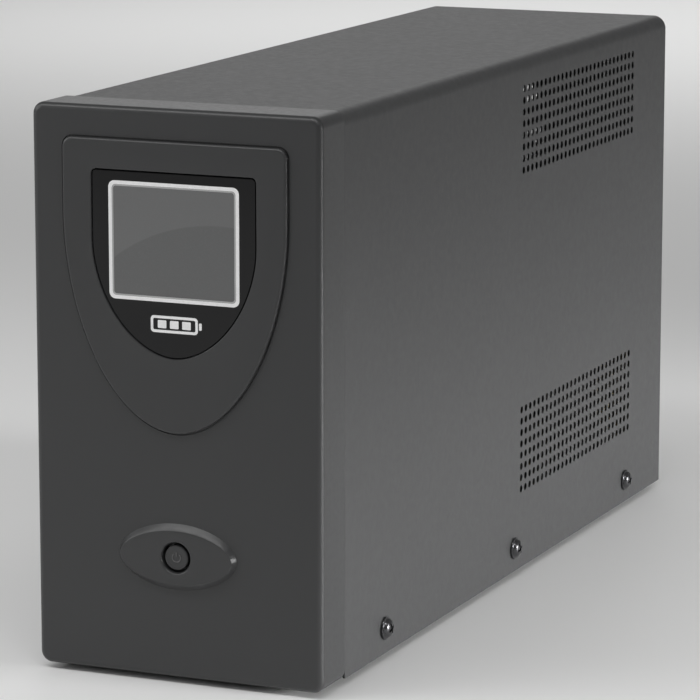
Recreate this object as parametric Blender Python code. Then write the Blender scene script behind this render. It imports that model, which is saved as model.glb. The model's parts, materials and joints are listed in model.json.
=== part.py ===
"""Tower uninterruptible power supply: steel case, moulded front bezel with a display, lead-acid
battery, laminated transformer, inverter board, cooling fan and a rear panel of mains outlets.

Run with: blender --background --python part.py
Metres, +Z up. The front faces -Y. The origin is on the floor, at the centre of the bounding box.
"""

import math

import bmesh
import bpy
from mathutils import Vector

# ---------------------------------------------------------------- driving dimensions
GAP = 0.0003  # between pieces that rest against each other
LEAST_CORNER = 0.0005  # of an outline set in from a rounded one

# Case
CASE_WIDTH = 0.104  # across the bezel
CASE_HEIGHT = 0.190  # bezel, bottom to top
CASE_LENGTH = 0.343  # bezel's front face to the cover's rear edge
BEZEL_DEPTH = 0.019
FLOOR_CLEARANCE = 0.002  # from the floor to the bezel's bottom edge
COVER_INSET = 0.0005  # the bezel stands proud of the cover all round
COVER_SEAM = 0.0008  # shadow gap between the bezel's rear edge and the cover
COVER_SHEET = 0.0008
COVER_CORNER = 0.005
CHASSIS_SHEET = 0.001
PANEL_RECESS = 0.002  # rear panel inside the cover's rear edge
WALL_SETBACK = 0.002  # front wall behind the bezel's rear edge
LIP_HEIGHT = 0.013  # turned-up edge of the base, which the cover is screwed to

# Cover vents: four fields of eight rows
VENT_PITCH = 0.00442
VENT_HOLE = 0.0024
VENT_ROWS = 8
VENT_COLUMNS = 28
VENT_FROM_FRONT = 0.1842  # bezel's front face to the first column
UPPER_VENT_DROP = 0.0105  # cover's top to the first upper row
LOWER_VENT_RISE = 0.0290  # cover's bottom to the last lower row

# Cover screws
SCREW_FROM_FRONT = (0.054, 0.177, 0.300)  # bezel's front face to each screw
SCREW_RISE = 0.0089  # cover's bottom to a screw's axis
SCREW_HEAD = 0.008
SCREW_HEAD_HEIGHT = 0.0024
SCREW_SHANK = 0.0038
SCREW_LENGTH = 0.006
SCREW_HOLE = 0.0046

# Feet
FOOT_DIAMETER = 0.014
FOOT_STEM = 0.005
FOOT_HEAD = 0.0075
FOOT_HEAD_HEIGHT = 0.002
FOOT_HOLE = 0.0058
FOOT_BEVEL = 0.001
FOOT_FROM_SIDE = 0.011
FOOT_FROM_END = 0.014

# Front bezel; heights are from the bezel's bottom edge
BEZEL_WALL = 0.0022
BEZEL_FRONT_WALL = 0.0025
BEZEL_CORNER = 0.004
BEZEL_FILLET = 0.0025
PLATEAU = {"half": 0.0403, "top": 0.1794, "spring": 0.155, "bottom": 0.083, "corner": 0.0035, "power": 1.95}
PLATEAU_HEIGHT = 0.0015
PLATEAU_CHAMFER = 0.0006
WINDOW = {"half": 0.0296, "top": 0.1694, "spring": 0.146, "bottom": 0.108, "corner": 0.0018, "power": 1.85}
WINDOW_THICKNESS = 0.002
WINDOW_EDGE = 0.0003
WINDOW_RECESS = 0.0004  # window's face below the plateau's
WINDOW_LEDGE = 0.002  # rim that the window is glued to
BOSS_HALF_WIDTH = 0.0214
BOSS_HALF_HEIGHT = 0.01125
BOSS_HEIGHT = 0.002
BOSS_SLOPE = 0.0022
BUTTON_RISE = 0.0414
POST_DIAMETER = 0.006
TAB_WIDTH = 0.012
TAB_THICKNESS = 0.0014
TAB_FROM_SIDE = 0.022

# Power button and its switch
BUTTON_DIAMETER = 0.0092
BUTTON_CLEARANCE = 0.0003
BUTTON_RECESS = 0.0009  # button's face below the boss's top
BUTTON_SINK = 0.0010  # depth and width of the conical rim
BUTTON_COLLAR = 0.0125
BUTTON_COLLAR_THICKNESS = 0.001
BUTTON_STEM = 0.004
BUTTON_TRAVEL = 0.0012
BUTTON_EDGE = 0.0006
SWITCH_SIZE = 0.0062
SWITCH_HEIGHT = 0.0036
PLUNGER_DIAMETER = 0.0034
PLUNGER_HOLE = 0.0042
PLUNGER_PROUD = 0.0016

# Display
LCD_WIDTH = 0.050
LCD_HEIGHT = 0.042
LCD_RISE = 0.1466  # bezel's bottom edge to the centre of the display
LCD_THICKNESS = 0.0028
BACKLIGHT_BORDER = 0.002
BACKLIGHT_THICKNESS = 0.0045
BACKLIGHT_CORNER = 0.0015
BOARD_THICKNESS = 0.0016
BOARD_CORNER = 0.002
BOARD_HOLE = 0.0032
DISPLAY_BOARD_WIDTH = 0.072
DISPLAY_BOARD_MARGIN = 0.012  # board beyond the button's and the display's centres
DISPLAY_BOARD_OVER = 0.026

# Battery, a 12 V 9 Ah block
BATTERY_WIDTH = 0.065
BATTERY_LENGTH = 0.151
BATTERY_HEIGHT = 0.094
BATTERY_LID = 0.008
BATTERY_BEVEL = 0.0015
BATTERY_LID_BEVEL = 0.0008
BATTERY_SETBACK = 0.004  # behind the chassis's front wall
TERMINAL_WIDTH = 0.0063
TERMINAL_THICKNESS = 0.0008
TERMINAL_HEIGHT = 0.0075
TERMINAL_POCKET = (0.013, 0.012, 0.0035)
TERMINAL_FROM_SIDE = 0.0095
TERMINAL_FROM_END = 0.009
CLAMP_LIP = 0.010
CLAMP_FLANGE = 0.012

# Transformer
CORE_SIDE_CLEARANCE = 0.003  # core to the chassis's side lips
CORE_LIMB = 0.015  # outer limbs and yokes; the middle limb is twice as wide
CORE_HEIGHT = 0.080
CORE_STACK = 0.060
CORE_GAP = 0.014  # battery clamp's flange to the winding
BOBBIN_WALL = 0.0012
WINDING_OVERHANG = 0.013
WINDING_SHOULDER = 0.002
BOLT_DIAMETER = 0.004
BOLT_HOLE = 0.005
BOLT_HEAD = 0.0075
BOLT_HEAD_HEIGHT = 0.0028
ANGLE_THICKNESS = 0.0012
ANGLE_HEIGHT = 0.0145
ANGLE_FLANGE = 0.012

# Board shelf and inverter board
SHELF_CLEARANCE = 0.008  # battery terminals to the shelf
SHELF_SIDE_CLEARANCE = 0.003
SHELF_REAR_GAP = 0.016  # winding to the shelf's rear leg
SHELF_NOTCH = 0.010  # depth of the side notches that the leads rise through
SHELF_NOTCH_LENGTH = 0.018
SHELF_WINDOW_CORNER = 0.006
CABLE_WINDOW = (0.040, 0.022)  # in the chassis's front wall
CABLE_WINDOW_CORNER = 0.004
STANDOFF_DIAMETER = 0.006
STANDOFF_HEIGHT = 0.006
MAIN_BOARD_LENGTH = 0.190
MAIN_BOARD_REAR_MARGIN = 0.004
HEATSINK_LENGTH = 0.110
HEATSINK_HEIGHT = 0.042
HEATSINK_BASE = 0.004
HEATSINK_FIN = 0.0016
HEATSINK_DEPTH = 0.014
HEATSINK_FINS = 6
CAPACITOR_DIAMETER = 0.022
CAPACITOR_HEIGHT = 0.035
RELAY_SIZE = (0.0155, 0.0195, 0.0155)
CAN_EDGE = 0.0009  # chamfer round the tops of the capacitor and the relay

# Fan
FAN_SIZE = 0.060
FAN_DEPTH = 0.025
FAN_RIM = 0.0015  # frame's wall where the bore comes nearest to its outside
FAN_HOLE_INSET = 0.005
FAN_CORNER = 0.003
FAN_HOLE = 0.0044
FAN_DROP = 0.0412  # cover's top to the fan's axis
FAN_FROM_SIDE = 0.0022  # fan frame to the cover's inner face
FAN_HUB = 0.026
FAN_HUB_DEPTH = 0.019
FAN_HUB_WALL = 0.0015
FAN_HUB_FLOOR = 0.002
FAN_HUB_GAP = 0.001  # hub to the motor plate
FAN_TIP_CLEARANCE = 0.0012
FAN_BLADES = 7
FAN_BLADE_THICKNESS = 0.0012
BLADE_CHORD = 0.011  # at the hub
BLADE_CHORD_GROWTH = 0.007  # more at the tip
FAN_MOTOR_PLATE = 0.0275
FAN_PLATE_THICKNESS = 0.002
FAN_SHAFT = 0.003
FAN_TUBE = 0.0075
FAN_STRUT = 0.0035
GUARD_WIRE = 0.0016
GUARD_INSET = 0.0025  # outer ring inside the bore
GUARD_PITCH = 0.008
GUARD_EYE_PLAY = 0.0006  # round a screw's shank
GUARD_SINK = 0.0004  # how far the welded wires sink into each other
FAN_SCREW_HEAD = 0.0066
FAN_SCREW_HEAD_HEIGHT = 0.002
FAN_SCREW_SHANK = 0.0028
FAN_SCREW_LENGTH = 0.013
PANEL_FAN_RIM = 0.001  # panel's edge inside the bore

# Rear sockets; heights are above the base
SOCKET_FLANGE = (0.034, 0.0268)
SOCKET_BODY = (0.029, 0.0222)
SOCKET_FLANGE_THICKNESS = 0.0017
SOCKET_CORNER = 0.0025
SOCKET_BEVEL = 0.0005
SOCKET_DEPTH = 0.020
SOCKET_SPACING = 0.048  # between the two columns
SOCKET_PITCH = 0.0295  # between rows
SOCKET_FIRST_RISE = 0.0275  # base to the lowest row
IEC_MOUTH = (0.0262, 0.0190)  # outer edge of an outlet's groove or an inlet's well
IEC_BLOCK = (0.0218, 0.0146)
IEC_CORNER = 0.0045
IEC_DEPTH = 0.0155
IEC_PIN = (0.002, 0.004)
IEC_PIN_ROOT = 0.001
IEC_PIN_SETBACK = 0.0025  # pin ends inside the mouth
IEC_SLOT = (0.0026, 0.0052)
IEC_PIN_SPREAD = 0.007
IEC_PIN_STAGGER = 0.002
PANEL_CLEARANCE = 0.0003  # body to the edge of its cut-out

# Breaker
BREAKER_BODY = (0.015, 0.028)
BREAKER_DEPTH = 0.022
BREAKER_BUSH = 0.011
BREAKER_BUSH_PROUD = 0.005
BREAKER_NUT = 0.0155
BREAKER_NUT_THICKNESS = 0.0025
BREAKER_BORE = 0.0074
BREAKER_BUTTON = 0.0066
BREAKER_TRAVEL = 0.004
BREAKER_BUTTON_PROUD = 0.002  # beyond the bush, with the breaker set
BREAKER_BORE_DEPTH = 0.010
BREAKER_BUSH_ROOT = 0.002  # bush inside the panel, in the body
BREAKER_CHAMFER = 0.0006

# Communication ports
USB_BODY = (0.0120, 0.0112)
USB_MOUTH = (0.0085, 0.0078)
USB_CORNER = 0.0016
USB_TONGUE = (0.0056, 0.0032)
USB_TONGUE_SETBACK = 0.001
USB_DEPTH = 0.016
USB_MOUTH_DEPTH = 0.0085
PORT_BODY = (0.0165, 0.0300)
PORT_MOUTH = (0.0118, 0.0082)
PORT_LATCH = (0.0040, 0.0018)
PORT_PITCH = 0.0142
PORT_DEPTH = 0.018
PORT_MOUTH_DEPTH = 0.0125
PORT_PROUD = 0.0008
PORT_DROP = 0.0300  # cover's top to the middle of the data ports
USB_DROP = 0.0575
PORT_FROM_SIDE = 0.0030  # data ports to the chassis's side

# Leads
LEAD_DIAMETER = 0.0032
LEAD_SIDES = 2  # bevel resolution

# ---------------------------------------------------------------- derived places
REAR_PROUD = BREAKER_BUSH_PROUD + BREAKER_BUTTON_PROUD - PANEL_RECESS
OVERALL_LENGTH = BOSS_HEIGHT + CASE_LENGTH + REAR_PROUD
FRONT_Y = -OVERALL_LENGTH / 2 + BOSS_HEIGHT
REAR_Y = FRONT_Y + CASE_LENGTH
BEZEL_BACK_Y = FRONT_Y + BEZEL_DEPTH
BEZEL_INNER_Y = FRONT_Y + BEZEL_FRONT_WALL
PANEL_Y = REAR_Y - PANEL_RECESS  # rear panel's outer face
PANEL_INNER_Y = PANEL_Y - CHASSIS_SHEET
WALL_Y = BEZEL_BACK_Y + WALL_SETBACK  # chassis front wall's outer face
WALL_INNER_Y = WALL_Y + CHASSIS_SHEET
BEZEL_BOTTOM = FLOOR_CLEARANCE
BEZEL_TOP = BEZEL_BOTTOM + CASE_HEIGHT
COVER_HALF = CASE_WIDTH / 2 - COVER_INSET
COVER_BOTTOM = BEZEL_BOTTOM + COVER_INSET
COVER_TOP = BEZEL_TOP - COVER_INSET
COVER_FRONT_Y = BEZEL_BACK_Y + COVER_SEAM
CHASSIS_HALF = COVER_HALF - COVER_SHEET - GAP
CHASSIS_TOP = COVER_TOP - COVER_SHEET - GAP
LIP_INNER = CHASSIS_HALF - CHASSIS_SHEET
BASE_TOP = COVER_BOTTOM + CHASSIS_SHEET
FLOOR_Z = BASE_TOP + GAP  # where what stands on the base begins
SCREW_Y = [FRONT_Y + distance for distance in SCREW_FROM_FRONT]
SCREW_Z = COVER_BOTTOM + SCREW_RISE

PLATEAU_Y = FRONT_Y - PLATEAU_HEIGHT
WINDOW_Y = PLATEAU_Y + WINDOW_RECESS
LEDGE_Y = WINDOW_Y + WINDOW_THICKNESS + GAP
LCD_Y = BEZEL_INNER_Y + GAP
BACKLIGHT_Y = LCD_Y + LCD_THICKNESS + GAP
DISPLAY_BOARD_Y = BACKLIGHT_Y + BACKLIGHT_THICKNESS + GAP
DISPLAY_BOARD_BACK_Y = DISPLAY_BOARD_Y + BOARD_THICKNESS
LCD_Z = BEZEL_BOTTOM + LCD_RISE
BUTTON_Z = BEZEL_BOTTOM + BUTTON_RISE
DISPLAY_BOARD_BOTTOM = BUTTON_Z - DISPLAY_BOARD_MARGIN
DISPLAY_BOARD_TOP = LCD_Z + DISPLAY_BOARD_OVER
BOSS_Y = FRONT_Y - BOSS_HEIGHT
BUTTON_Y = BOSS_Y + BUTTON_RECESS
COLLAR_Y = BEZEL_INNER_Y + GAP
SWITCH_Y = DISPLAY_BOARD_Y - GAP - SWITCH_HEIGHT
PLUNGER_Y = SWITCH_Y - PLUNGER_PROUD

BATTERY_Y = WALL_INNER_Y + BATTERY_SETBACK
BATTERY_REAR_Y = BATTERY_Y + BATTERY_LENGTH
BATTERY_TOP = FLOOR_Z + BATTERY_HEIGHT
TERMINAL_X = BATTERY_WIDTH / 2 - TERMINAL_FROM_SIDE
TERMINAL_Y = BATTERY_REAR_Y - TERMINAL_FROM_END
TERMINAL_BASE_Z = BATTERY_TOP - TERMINAL_POCKET[2] + GAP
TERMINAL_TOP = TERMINAL_BASE_Z + TERMINAL_HEIGHT
CLAMP_Y = BATTERY_REAR_Y + 2 * GAP

CORE_WIDTH = 2 * (LIP_INNER - CORE_SIDE_CLEARANCE)
CORE_WINDOW = (CORE_WIDTH - 4 * CORE_LIMB) / 2
WINDING_LENGTH = CORE_STACK + 2 * WINDING_OVERHANG
CORE_Y = CLAMP_Y + CHASSIS_SHEET + CLAMP_FLANGE + CORE_GAP + WINDING_LENGTH / 2
WINDING_REAR_Y = CORE_Y + WINDING_LENGTH / 2

SHELF_Z = TERMINAL_TOP + SHELF_CLEARANCE
SHELF_TOP = SHELF_Z + CHASSIS_SHEET
SHELF_HALF = LIP_INNER - SHELF_SIDE_CLEARANCE
SHELF_LEG_Y = WINDING_REAR_Y + SHELF_REAR_GAP
MAIN_BOARD_Z = SHELF_TOP + STANDOFF_HEIGHT + GAP
MAIN_BOARD_TOP = MAIN_BOARD_Z + BOARD_THICKNESS
MAIN_BOARD_HALF = SHELF_HALF - SHELF_NOTCH
MAIN_BOARD_REAR_Y = SHELF_LEG_Y - MAIN_BOARD_REAR_MARGIN
MAIN_BOARD_FRONT_Y = MAIN_BOARD_REAR_Y - MAIN_BOARD_LENGTH
LEAD_X = SHELF_HALF - SHELF_NOTCH / 2

FAN_BORE = FAN_SIZE - 2 * FAN_RIM
FAN_HOLE_SPACING = FAN_SIZE - 2 * FAN_HOLE_INSET
GUARD_RINGS = [FAN_BORE / 2 - GUARD_INSET - GUARD_PITCH * ring for ring in (2, 1, 0)]
FAN_X = -(COVER_HALF - COVER_SHEET - FAN_FROM_SIDE - FAN_SIZE / 2)
FAN_Z = COVER_TOP - FAN_DROP
FAN_BACK_Y = PANEL_INNER_Y - GAP
FAN_FRONT_Y = FAN_BACK_Y - FAN_DEPTH
PORT_X = CHASSIS_HALF - PORT_FROM_SIDE - PORT_BODY[0] / 2
PORT_Z = COVER_TOP - PORT_DROP
USB_Z = COVER_TOP - USB_DROP
SOCKET_X = SOCKET_SPACING / 2
SOCKET_ROWS = [BASE_TOP + SOCKET_FIRST_RISE + SOCKET_PITCH * row for row in range(3)]


# ---------------------------------------------------------------- outlines, as lists of (u, v)
def arc(radius, start, end, steps, centre=(0.0, 0.0)):
    """Points along an arc, both ends included; angles are in degrees."""
    angles = [math.radians(start + (end - start) * i / steps) for i in range(steps + 1)]
    return [(centre[0] + radius * math.cos(a), centre[1] + radius * math.sin(a)) for a in angles]


def circle(diameter, segments=24, centre=(0.0, 0.0)):
    return arc(diameter / 2, 0, 360, segments, centre)[:-1]


def ellipse(half_width, half_height, segments=40, centre=(0.0, 0.0)):
    return [(centre[0] + half_width * u, centre[1] + half_height * v) for u, v in circle(2, segments)]


def rectangle(width, height, centre=(0.0, 0.0)):
    u, v = width / 2, height / 2
    return [(centre[0] + a, centre[1] + b) for a, b in ((u, -v), (u, v), (-u, v), (-u, -v))]


def rounded_rectangle(width, height, radius, centre=(0.0, 0.0), steps=4):
    points = []
    for quarter, (a, b) in enumerate(((1, 1), (-1, 1), (-1, -1), (1, -1))):
        corner = (centre[0] + a * (width / 2 - radius), centre[1] + b * (height / 2 - radius))
        points += arc(radius, 90 * quarter, 90 * quarter + 90, steps, corner)
    return points


def shield(inset, half, top, spring, bottom, corner, power, steps=14):
    """A flat top with round corners, straight sides down to the spring line, then a superellipse to
    the tip. The inset shrinks it evenly."""
    half, top, bottom = half - inset, top - inset, bottom + inset
    corner = max(corner - inset, LEAST_CORNER)
    points = arc(corner, 0, 90, 4, (half - corner, top - corner))
    points += arc(corner, 90, 180, 4, (-half + corner, top - corner))
    for i in range(2 * steps + 1):
        angle = math.pi * i / (2 * steps)
        across = math.copysign(abs(math.cos(angle)) ** (2 / power), math.cos(angle))
        down = math.sin(angle) ** (2 / power)
        points.append((-half * across, spring - (spring - bottom) * down))
    return [(u, v + BEZEL_BOTTOM) for u, v in points]


def iec_outline(size, corner=IEC_CORNER, centre=(0.0, 0.0)):
    """The six-sided mouth of a mains connector: a rectangle with its two upper corners cut off."""
    u, v = size[0] / 2, size[1] / 2
    points = ((u, -v), (u, v - corner), (u - corner, v), (-u + corner, v), (-u, v - corner), (-u, -v))
    return [(centre[0] + a, centre[1] + b) for a, b in points]


# ---------------------------------------------------------------- mesh building
def place(axis, u, v, w):
    """A point whose outline coordinates are (u, v), at w along the axis."""
    return {"X": (w, u, v), "Y": (u, w, v), "Z": (u, v, w)}[axis]


def loft(bm, rings, ring_loop=False):
    """Joins rings of equally many points. The ends are capped unless the rings close on themselves."""
    layers = [[bm.verts.new(point) for point in ring] for ring in rings]
    count = len(layers[0])
    pairs = list(zip(layers, layers[1:])) + ([(layers[-1], layers[0])] if ring_loop else [])
    for low, high in pairs:
        for i in range(count):
            j = (i + 1) % count
            bm.faces.new((low[i], low[j], high[j], high[i]))
    if not ring_loop:
        bm.faces.new(layers[0])
        bm.faces.new(layers[-1])


def sections(bm, axis, steps):
    """Lofts (outline, position) pairs along an axis."""
    loft(bm, [[place(axis, u, v, at) for u, v in outline] for outline, at in steps])


def prism(bm, axis, outline, start, end):
    sections(bm, axis, [(outline, start), (outline, end)])


def block(bm, low, high):
    (x0, y0, z0), (x1, y1, z1) = low, high
    prism(bm, "Z", [(x0, y0), (x1, y0), (x1, y1), (x0, y1)], z0, z1)


def turned(bm, axis, profile, segments=20, centre=(0.0, 0.0)):
    """Turns (diameter, position) steps about an axis through centre."""
    sections(bm, axis, [(circle(diameter, segments, centre), at) for diameter, at in profile])


def wire_ring(bm, centre, radius, wire, segments, sides=5):
    """A ring of round wire in a plane square to Y."""
    rings = []
    for i in range(segments):
        turn = 2 * math.pi * i / segments
        out = Vector((math.cos(turn), 0, math.sin(turn)))
        across = arc(wire / 2, 0, 360, sides)[:-1]
        rings.append([Vector(centre) + out * (radius + a) + Vector((0, b, 0)) for a, b in across])
    loft(bm, rings, ring_loop=True)


def new_object(bm, name, paint=None, location=(0, 0, 0)):
    bmesh.ops.recalc_face_normals(bm, faces=bm.faces)
    mesh = bpy.data.meshes.new(name)
    bm.to_mesh(mesh)
    bm.free()
    mesh.shade_smooth()
    mesh.set_sharp_from_angle(angle=math.radians(35))
    if paint:
        mesh.materials.append(paint)
    made = bpy.data.objects.new(name, mesh)
    made.location = location
    bpy.context.scene.collection.objects.link(made)
    return made


def shape(target, operation, name, draw):
    """Adds a Boolean whose tool is drawn by draw(bm), in the target's own coordinates."""
    bm = bmesh.new()
    draw(bm)
    tool = new_object(bm, name, location=target.location)
    tool.hide_render = True
    tool.display_type = "WIRE"
    modifier = target.modifiers.new(name, "BOOLEAN")
    modifier.operation = operation
    modifier.solver = "EXACT"
    modifier.object = tool


def cut(target, name, draw):
    shape(target, "DIFFERENCE", name, draw)


def join(target, name, draw):
    shape(target, "UNION", name, draw)


def paint(name, colour, roughness, metallic=0.0):
    made = bpy.data.materials.new(name)
    made.use_nodes = True
    shader = made.node_tree.nodes["Principled BSDF"]
    shader.inputs["Base Color"].default_value = (*colour, 1.0)
    shader.inputs["Roughness"].default_value = roughness
    shader.inputs["Metallic"].default_value = metallic
    made.diffuse_color = (*colour, 1.0)
    return made


def make_paints():
    return {
        "case_paint": paint("case_paint", (0.055, 0.056, 0.058), 0.55),
        "bezel_plastic": paint("bezel_plastic", (0.040, 0.041, 0.043), 0.5),
        "window_acrylic": paint("window_acrylic", (0.008, 0.008, 0.009), 0.08),
        "lcd_glass": paint("lcd_glass", (0.11, 0.115, 0.11), 0.2),
        "black_plastic": paint("black_plastic", (0.012, 0.012, 0.013), 0.45),
        "white_plastic": paint("white_plastic", (0.75, 0.75, 0.72), 0.5),
        "circuit_board": paint("circuit_board", (0.02, 0.12, 0.04), 0.4),
        "zinc_steel": paint("zinc_steel", (0.55, 0.56, 0.58), 0.35, 1.0),
        "screw_steel": paint("screw_steel", (0.10, 0.10, 0.11), 0.3, 1.0),
        "rubber": paint("rubber", (0.012, 0.012, 0.012), 0.85),
        "battery_plastic": paint("battery_plastic", (0.035, 0.036, 0.04), 0.5),
        "tinned_brass": paint("tinned_brass", (0.62, 0.60, 0.55), 0.3, 1.0),
        "core_steel": paint("core_steel", (0.12, 0.12, 0.125), 0.5, 1.0),
        "winding_tape": paint("winding_tape", (0.75, 0.55, 0.08), 0.35),
        "aluminium": paint("aluminium", (0.60, 0.61, 0.62), 0.35, 1.0),
        "red_pvc": paint("red_pvc", (0.55, 0.02, 0.02), 0.4),
        "black_pvc": paint("black_pvc", (0.012, 0.012, 0.012), 0.4),
        "grey_pvc": paint("grey_pvc", (0.28, 0.28, 0.29), 0.45),
        "capacitor_sleeve": paint("capacitor_sleeve", (0.02, 0.025, 0.09), 0.35),
    }


# ---------------------------------------------------------------- steel case
def vent_rows():
    """Heights of all sixteen rows of vents."""
    upper = [COVER_TOP - UPPER_VENT_DROP - VENT_PITCH * row for row in range(VENT_ROWS)]
    lower = [COVER_BOTTOM + LOWER_VENT_RISE + VENT_PITCH * row for row in range(VENT_ROWS)]
    return upper + lower


def cover_section(half, top, bottom, corner):
    """Right foot, up, over the round shoulders and down to the left foot."""
    right = arc(corner, 0, 90, 5, (half - corner, top - corner))
    left = arc(corner, 90, 180, 5, (-half + corner, top - corner))
    return [(half, bottom), *right, *left, (-half, bottom)]


def make_cover(paints):
    bm = bmesh.new()
    outer = cover_section(COVER_HALF, COVER_TOP, COVER_BOTTOM, COVER_CORNER)
    inner = cover_section(
        COVER_HALF - COVER_SHEET, COVER_TOP - COVER_SHEET, COVER_BOTTOM, COVER_CORNER - COVER_SHEET
    )
    prism(bm, "Y", outer + inner[::-1], COVER_FRONT_Y, REAR_Y)
    cover = new_object(bm, "cover", paints["case_paint"])
    first = FRONT_Y + VENT_FROM_FRONT - VENT_HOLE / 2
    last = first + VENT_PITCH * (VENT_COLUMNS - 1) + VENT_HOLE

    def slots(bm):
        for z in vent_rows():
            block(bm, (-CASE_WIDTH, first, z - VENT_HOLE / 2), (CASE_WIDTH, last, z + VENT_HOLE / 2))
        for y in SCREW_Y:
            prism(bm, "X", circle(SCREW_HOLE, 16, (y, SCREW_Z)), -CASE_WIDTH, CASE_WIDTH)

    cut(cover, "cover_openings", slots)


def foot_places():
    x = CHASSIS_HALF - FOOT_FROM_SIDE
    front, rear = WALL_Y + FOOT_FROM_END, PANEL_Y - FOOT_FROM_END
    return [(-x, front), (x, front), (-x, rear), (x, rear)]


def tab_places():
    """Where the bezel's snap tabs pass through the front wall: (x, z) of each tab's middle."""
    x = CASE_WIDTH / 2 - TAB_FROM_SIDE
    low = BEZEL_BOTTOM + BEZEL_WALL + LIP_HEIGHT + TAB_THICKNESS
    high = BEZEL_TOP - BEZEL_WALL - 3 * TAB_THICKNESS
    return [(side * x, z) for side in (-1, 1) for z in (low, high)]


def make_chassis(paints):
    bm = bmesh.new()
    corner = COVER_CORNER - COVER_SHEET - GAP
    prism(bm, "Y", cover_section(CHASSIS_HALF, CHASSIS_TOP, COVER_BOTTOM, corner), WALL_Y, PANEL_Y)
    chassis = new_object(bm, "chassis", paints["case_paint"])
    lip_top = BASE_TOP + LIP_HEIGHT
    above = CHASSIS_TOP + BEZEL_DEPTH
    hollow = [
        (-LIP_INNER, BASE_TOP), (LIP_INNER, BASE_TOP), (LIP_INNER, lip_top), (CASE_WIDTH, lip_top),
        (CASE_WIDTH, above), (-CASE_WIDTH, above), (-CASE_WIDTH, lip_top), (-LIP_INNER, lip_top),
    ]
    cut(chassis, "chassis_hollow", lambda bm: prism(bm, "Y", hollow, WALL_INNER_Y, PANEL_INNER_Y))

    def lip_and_base_holes(bm):
        for y in SCREW_Y:
            for side in (-1, 1):
                start, end = sorted((side * (LIP_INNER - GAP), side * (CHASSIS_HALF + GAP)))
                prism(bm, "X", circle(SCREW_HOLE, 16, (y, SCREW_Z)), start, end)
        for x, y in foot_places():
            prism(bm, "Z", circle(FOOT_HOLE, 16, (x, y)), COVER_BOTTOM - GAP, BASE_TOP + GAP)

    cut(chassis, "lip_and_base_holes", lip_and_base_holes)

    def front_openings(bm):
        start, end = WALL_Y - GAP, WALL_INNER_Y + GAP
        for x, z in tab_places():
            slot = (TAB_WIDTH + 2 * BUTTON_CLEARANCE, TAB_THICKNESS + 4 * BUTTON_CLEARANCE)
            prism(bm, "Y", rectangle(*slot, (x, z)), start, end)
        cable_z = MAIN_BOARD_TOP + SHELF_NOTCH_LENGTH
        prism(bm, "Y", rounded_rectangle(*CABLE_WINDOW, CABLE_WINDOW_CORNER, (0, cable_z), 2), start, end)

    cut(chassis, "front_openings", front_openings)

    def rear_openings(bm):
        start, end = PANEL_INNER_Y - GAP, PANEL_Y + GAP
        grown = 2 * PANEL_CLEARANCE
        prism(bm, "Y", circle(FAN_BORE - 2 * PANEL_FAN_RIM, 32, (FAN_X, FAN_Z)), start, end)
        for x, z in fan_corners():
            prism(bm, "Y", circle(FAN_HOLE, 12, (x, z)), start, end)
        for x, z in [inlet_place(), *outlet_places()]:
            prism(bm, "Y", rectangle(SOCKET_BODY[0] + grown, SOCKET_BODY[1] + grown, (x, z)), start, end)
        prism(bm, "Y", circle(BREAKER_BUSH + grown, 20, breaker_place()), start, end)
        prism(bm, "Y", rectangle(PORT_BODY[0] + grown, PORT_BODY[1] + grown, (PORT_X, PORT_Z)), start, end)
        prism(bm, "Y", rectangle(USB_BODY[0] + grown, USB_BODY[1] + grown, (PORT_X, USB_Z)), start, end)

    cut(chassis, "rear_openings", rear_openings)


def make_cover_screws(paints):
    """Pan-head screws, three along each side, which hold the cover to the chassis's lips."""
    bm = bmesh.new()
    face = GAP
    dome = SCREW_HEAD_HEIGHT * 0.45
    tip = face - SCREW_LENGTH
    turned(bm, "X", [
        (SCREW_SHANK * 0.7, tip), (SCREW_SHANK, tip + SCREW_LENGTH * 0.1), (SCREW_SHANK, face),
        (SCREW_HEAD, face), (SCREW_HEAD, face + dome), (SCREW_HEAD * 0.9, face + 2 * dome * 0.9),
        (SCREW_HEAD * 0.62, face + SCREW_HEAD_HEIGHT),
    ], 16)
    right = new_object(bm, "cover_screw_1", paints["screw_steel"], (COVER_HALF, SCREW_Y[0], SCREW_Z))
    number = 1
    for side in (1, -1):
        for y in SCREW_Y:
            screw = right
            if number > 1:
                screw = bpy.data.objects.new(f"cover_screw_{number}", right.data)
                bpy.context.scene.collection.objects.link(screw)
            screw.location = (side * COVER_HALF, y, SCREW_Z)
            screw.rotation_euler = (0, 0, 0 if side > 0 else math.pi)
            number += 1


def make_feet(paints):
    """Rubber push-in feet: a pad under the base, a stem through it and a head above."""
    pad_top = COVER_BOTTOM - GAP
    profile = [
        (FOOT_DIAMETER - 2 * FOOT_BEVEL, 0.0), (FOOT_DIAMETER, FOOT_BEVEL), (FOOT_DIAMETER, pad_top),
        (FOOT_STEM, pad_top), (FOOT_STEM, FLOOR_Z), (FOOT_HEAD, FLOOR_Z),
        (FOOT_STEM, FLOOR_Z + FOOT_HEAD_HEIGHT),
    ]
    for number, (x, y) in enumerate(foot_places(), 1):
        bm = bmesh.new()
        turned(bm, "Z", profile, 16)
        new_object(bm, f"foot_{number}", paints["rubber"], (x, y, 0))


# ---------------------------------------------------------------- front
def bezel_rings():
    """The bezel's outside, from its filleted front edge to its back, as (outline, y) steps."""
    steps = []
    for angle in (0, 30, 60, 90):
        inset = BEZEL_FILLET * (1 - math.sin(math.radians(angle)))
        back = BEZEL_FILLET * (1 - math.cos(math.radians(angle)))
        steps.append((bezel_outline(inset), FRONT_Y + back))
    return steps + [(bezel_outline(0), BEZEL_BACK_Y)]


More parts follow.
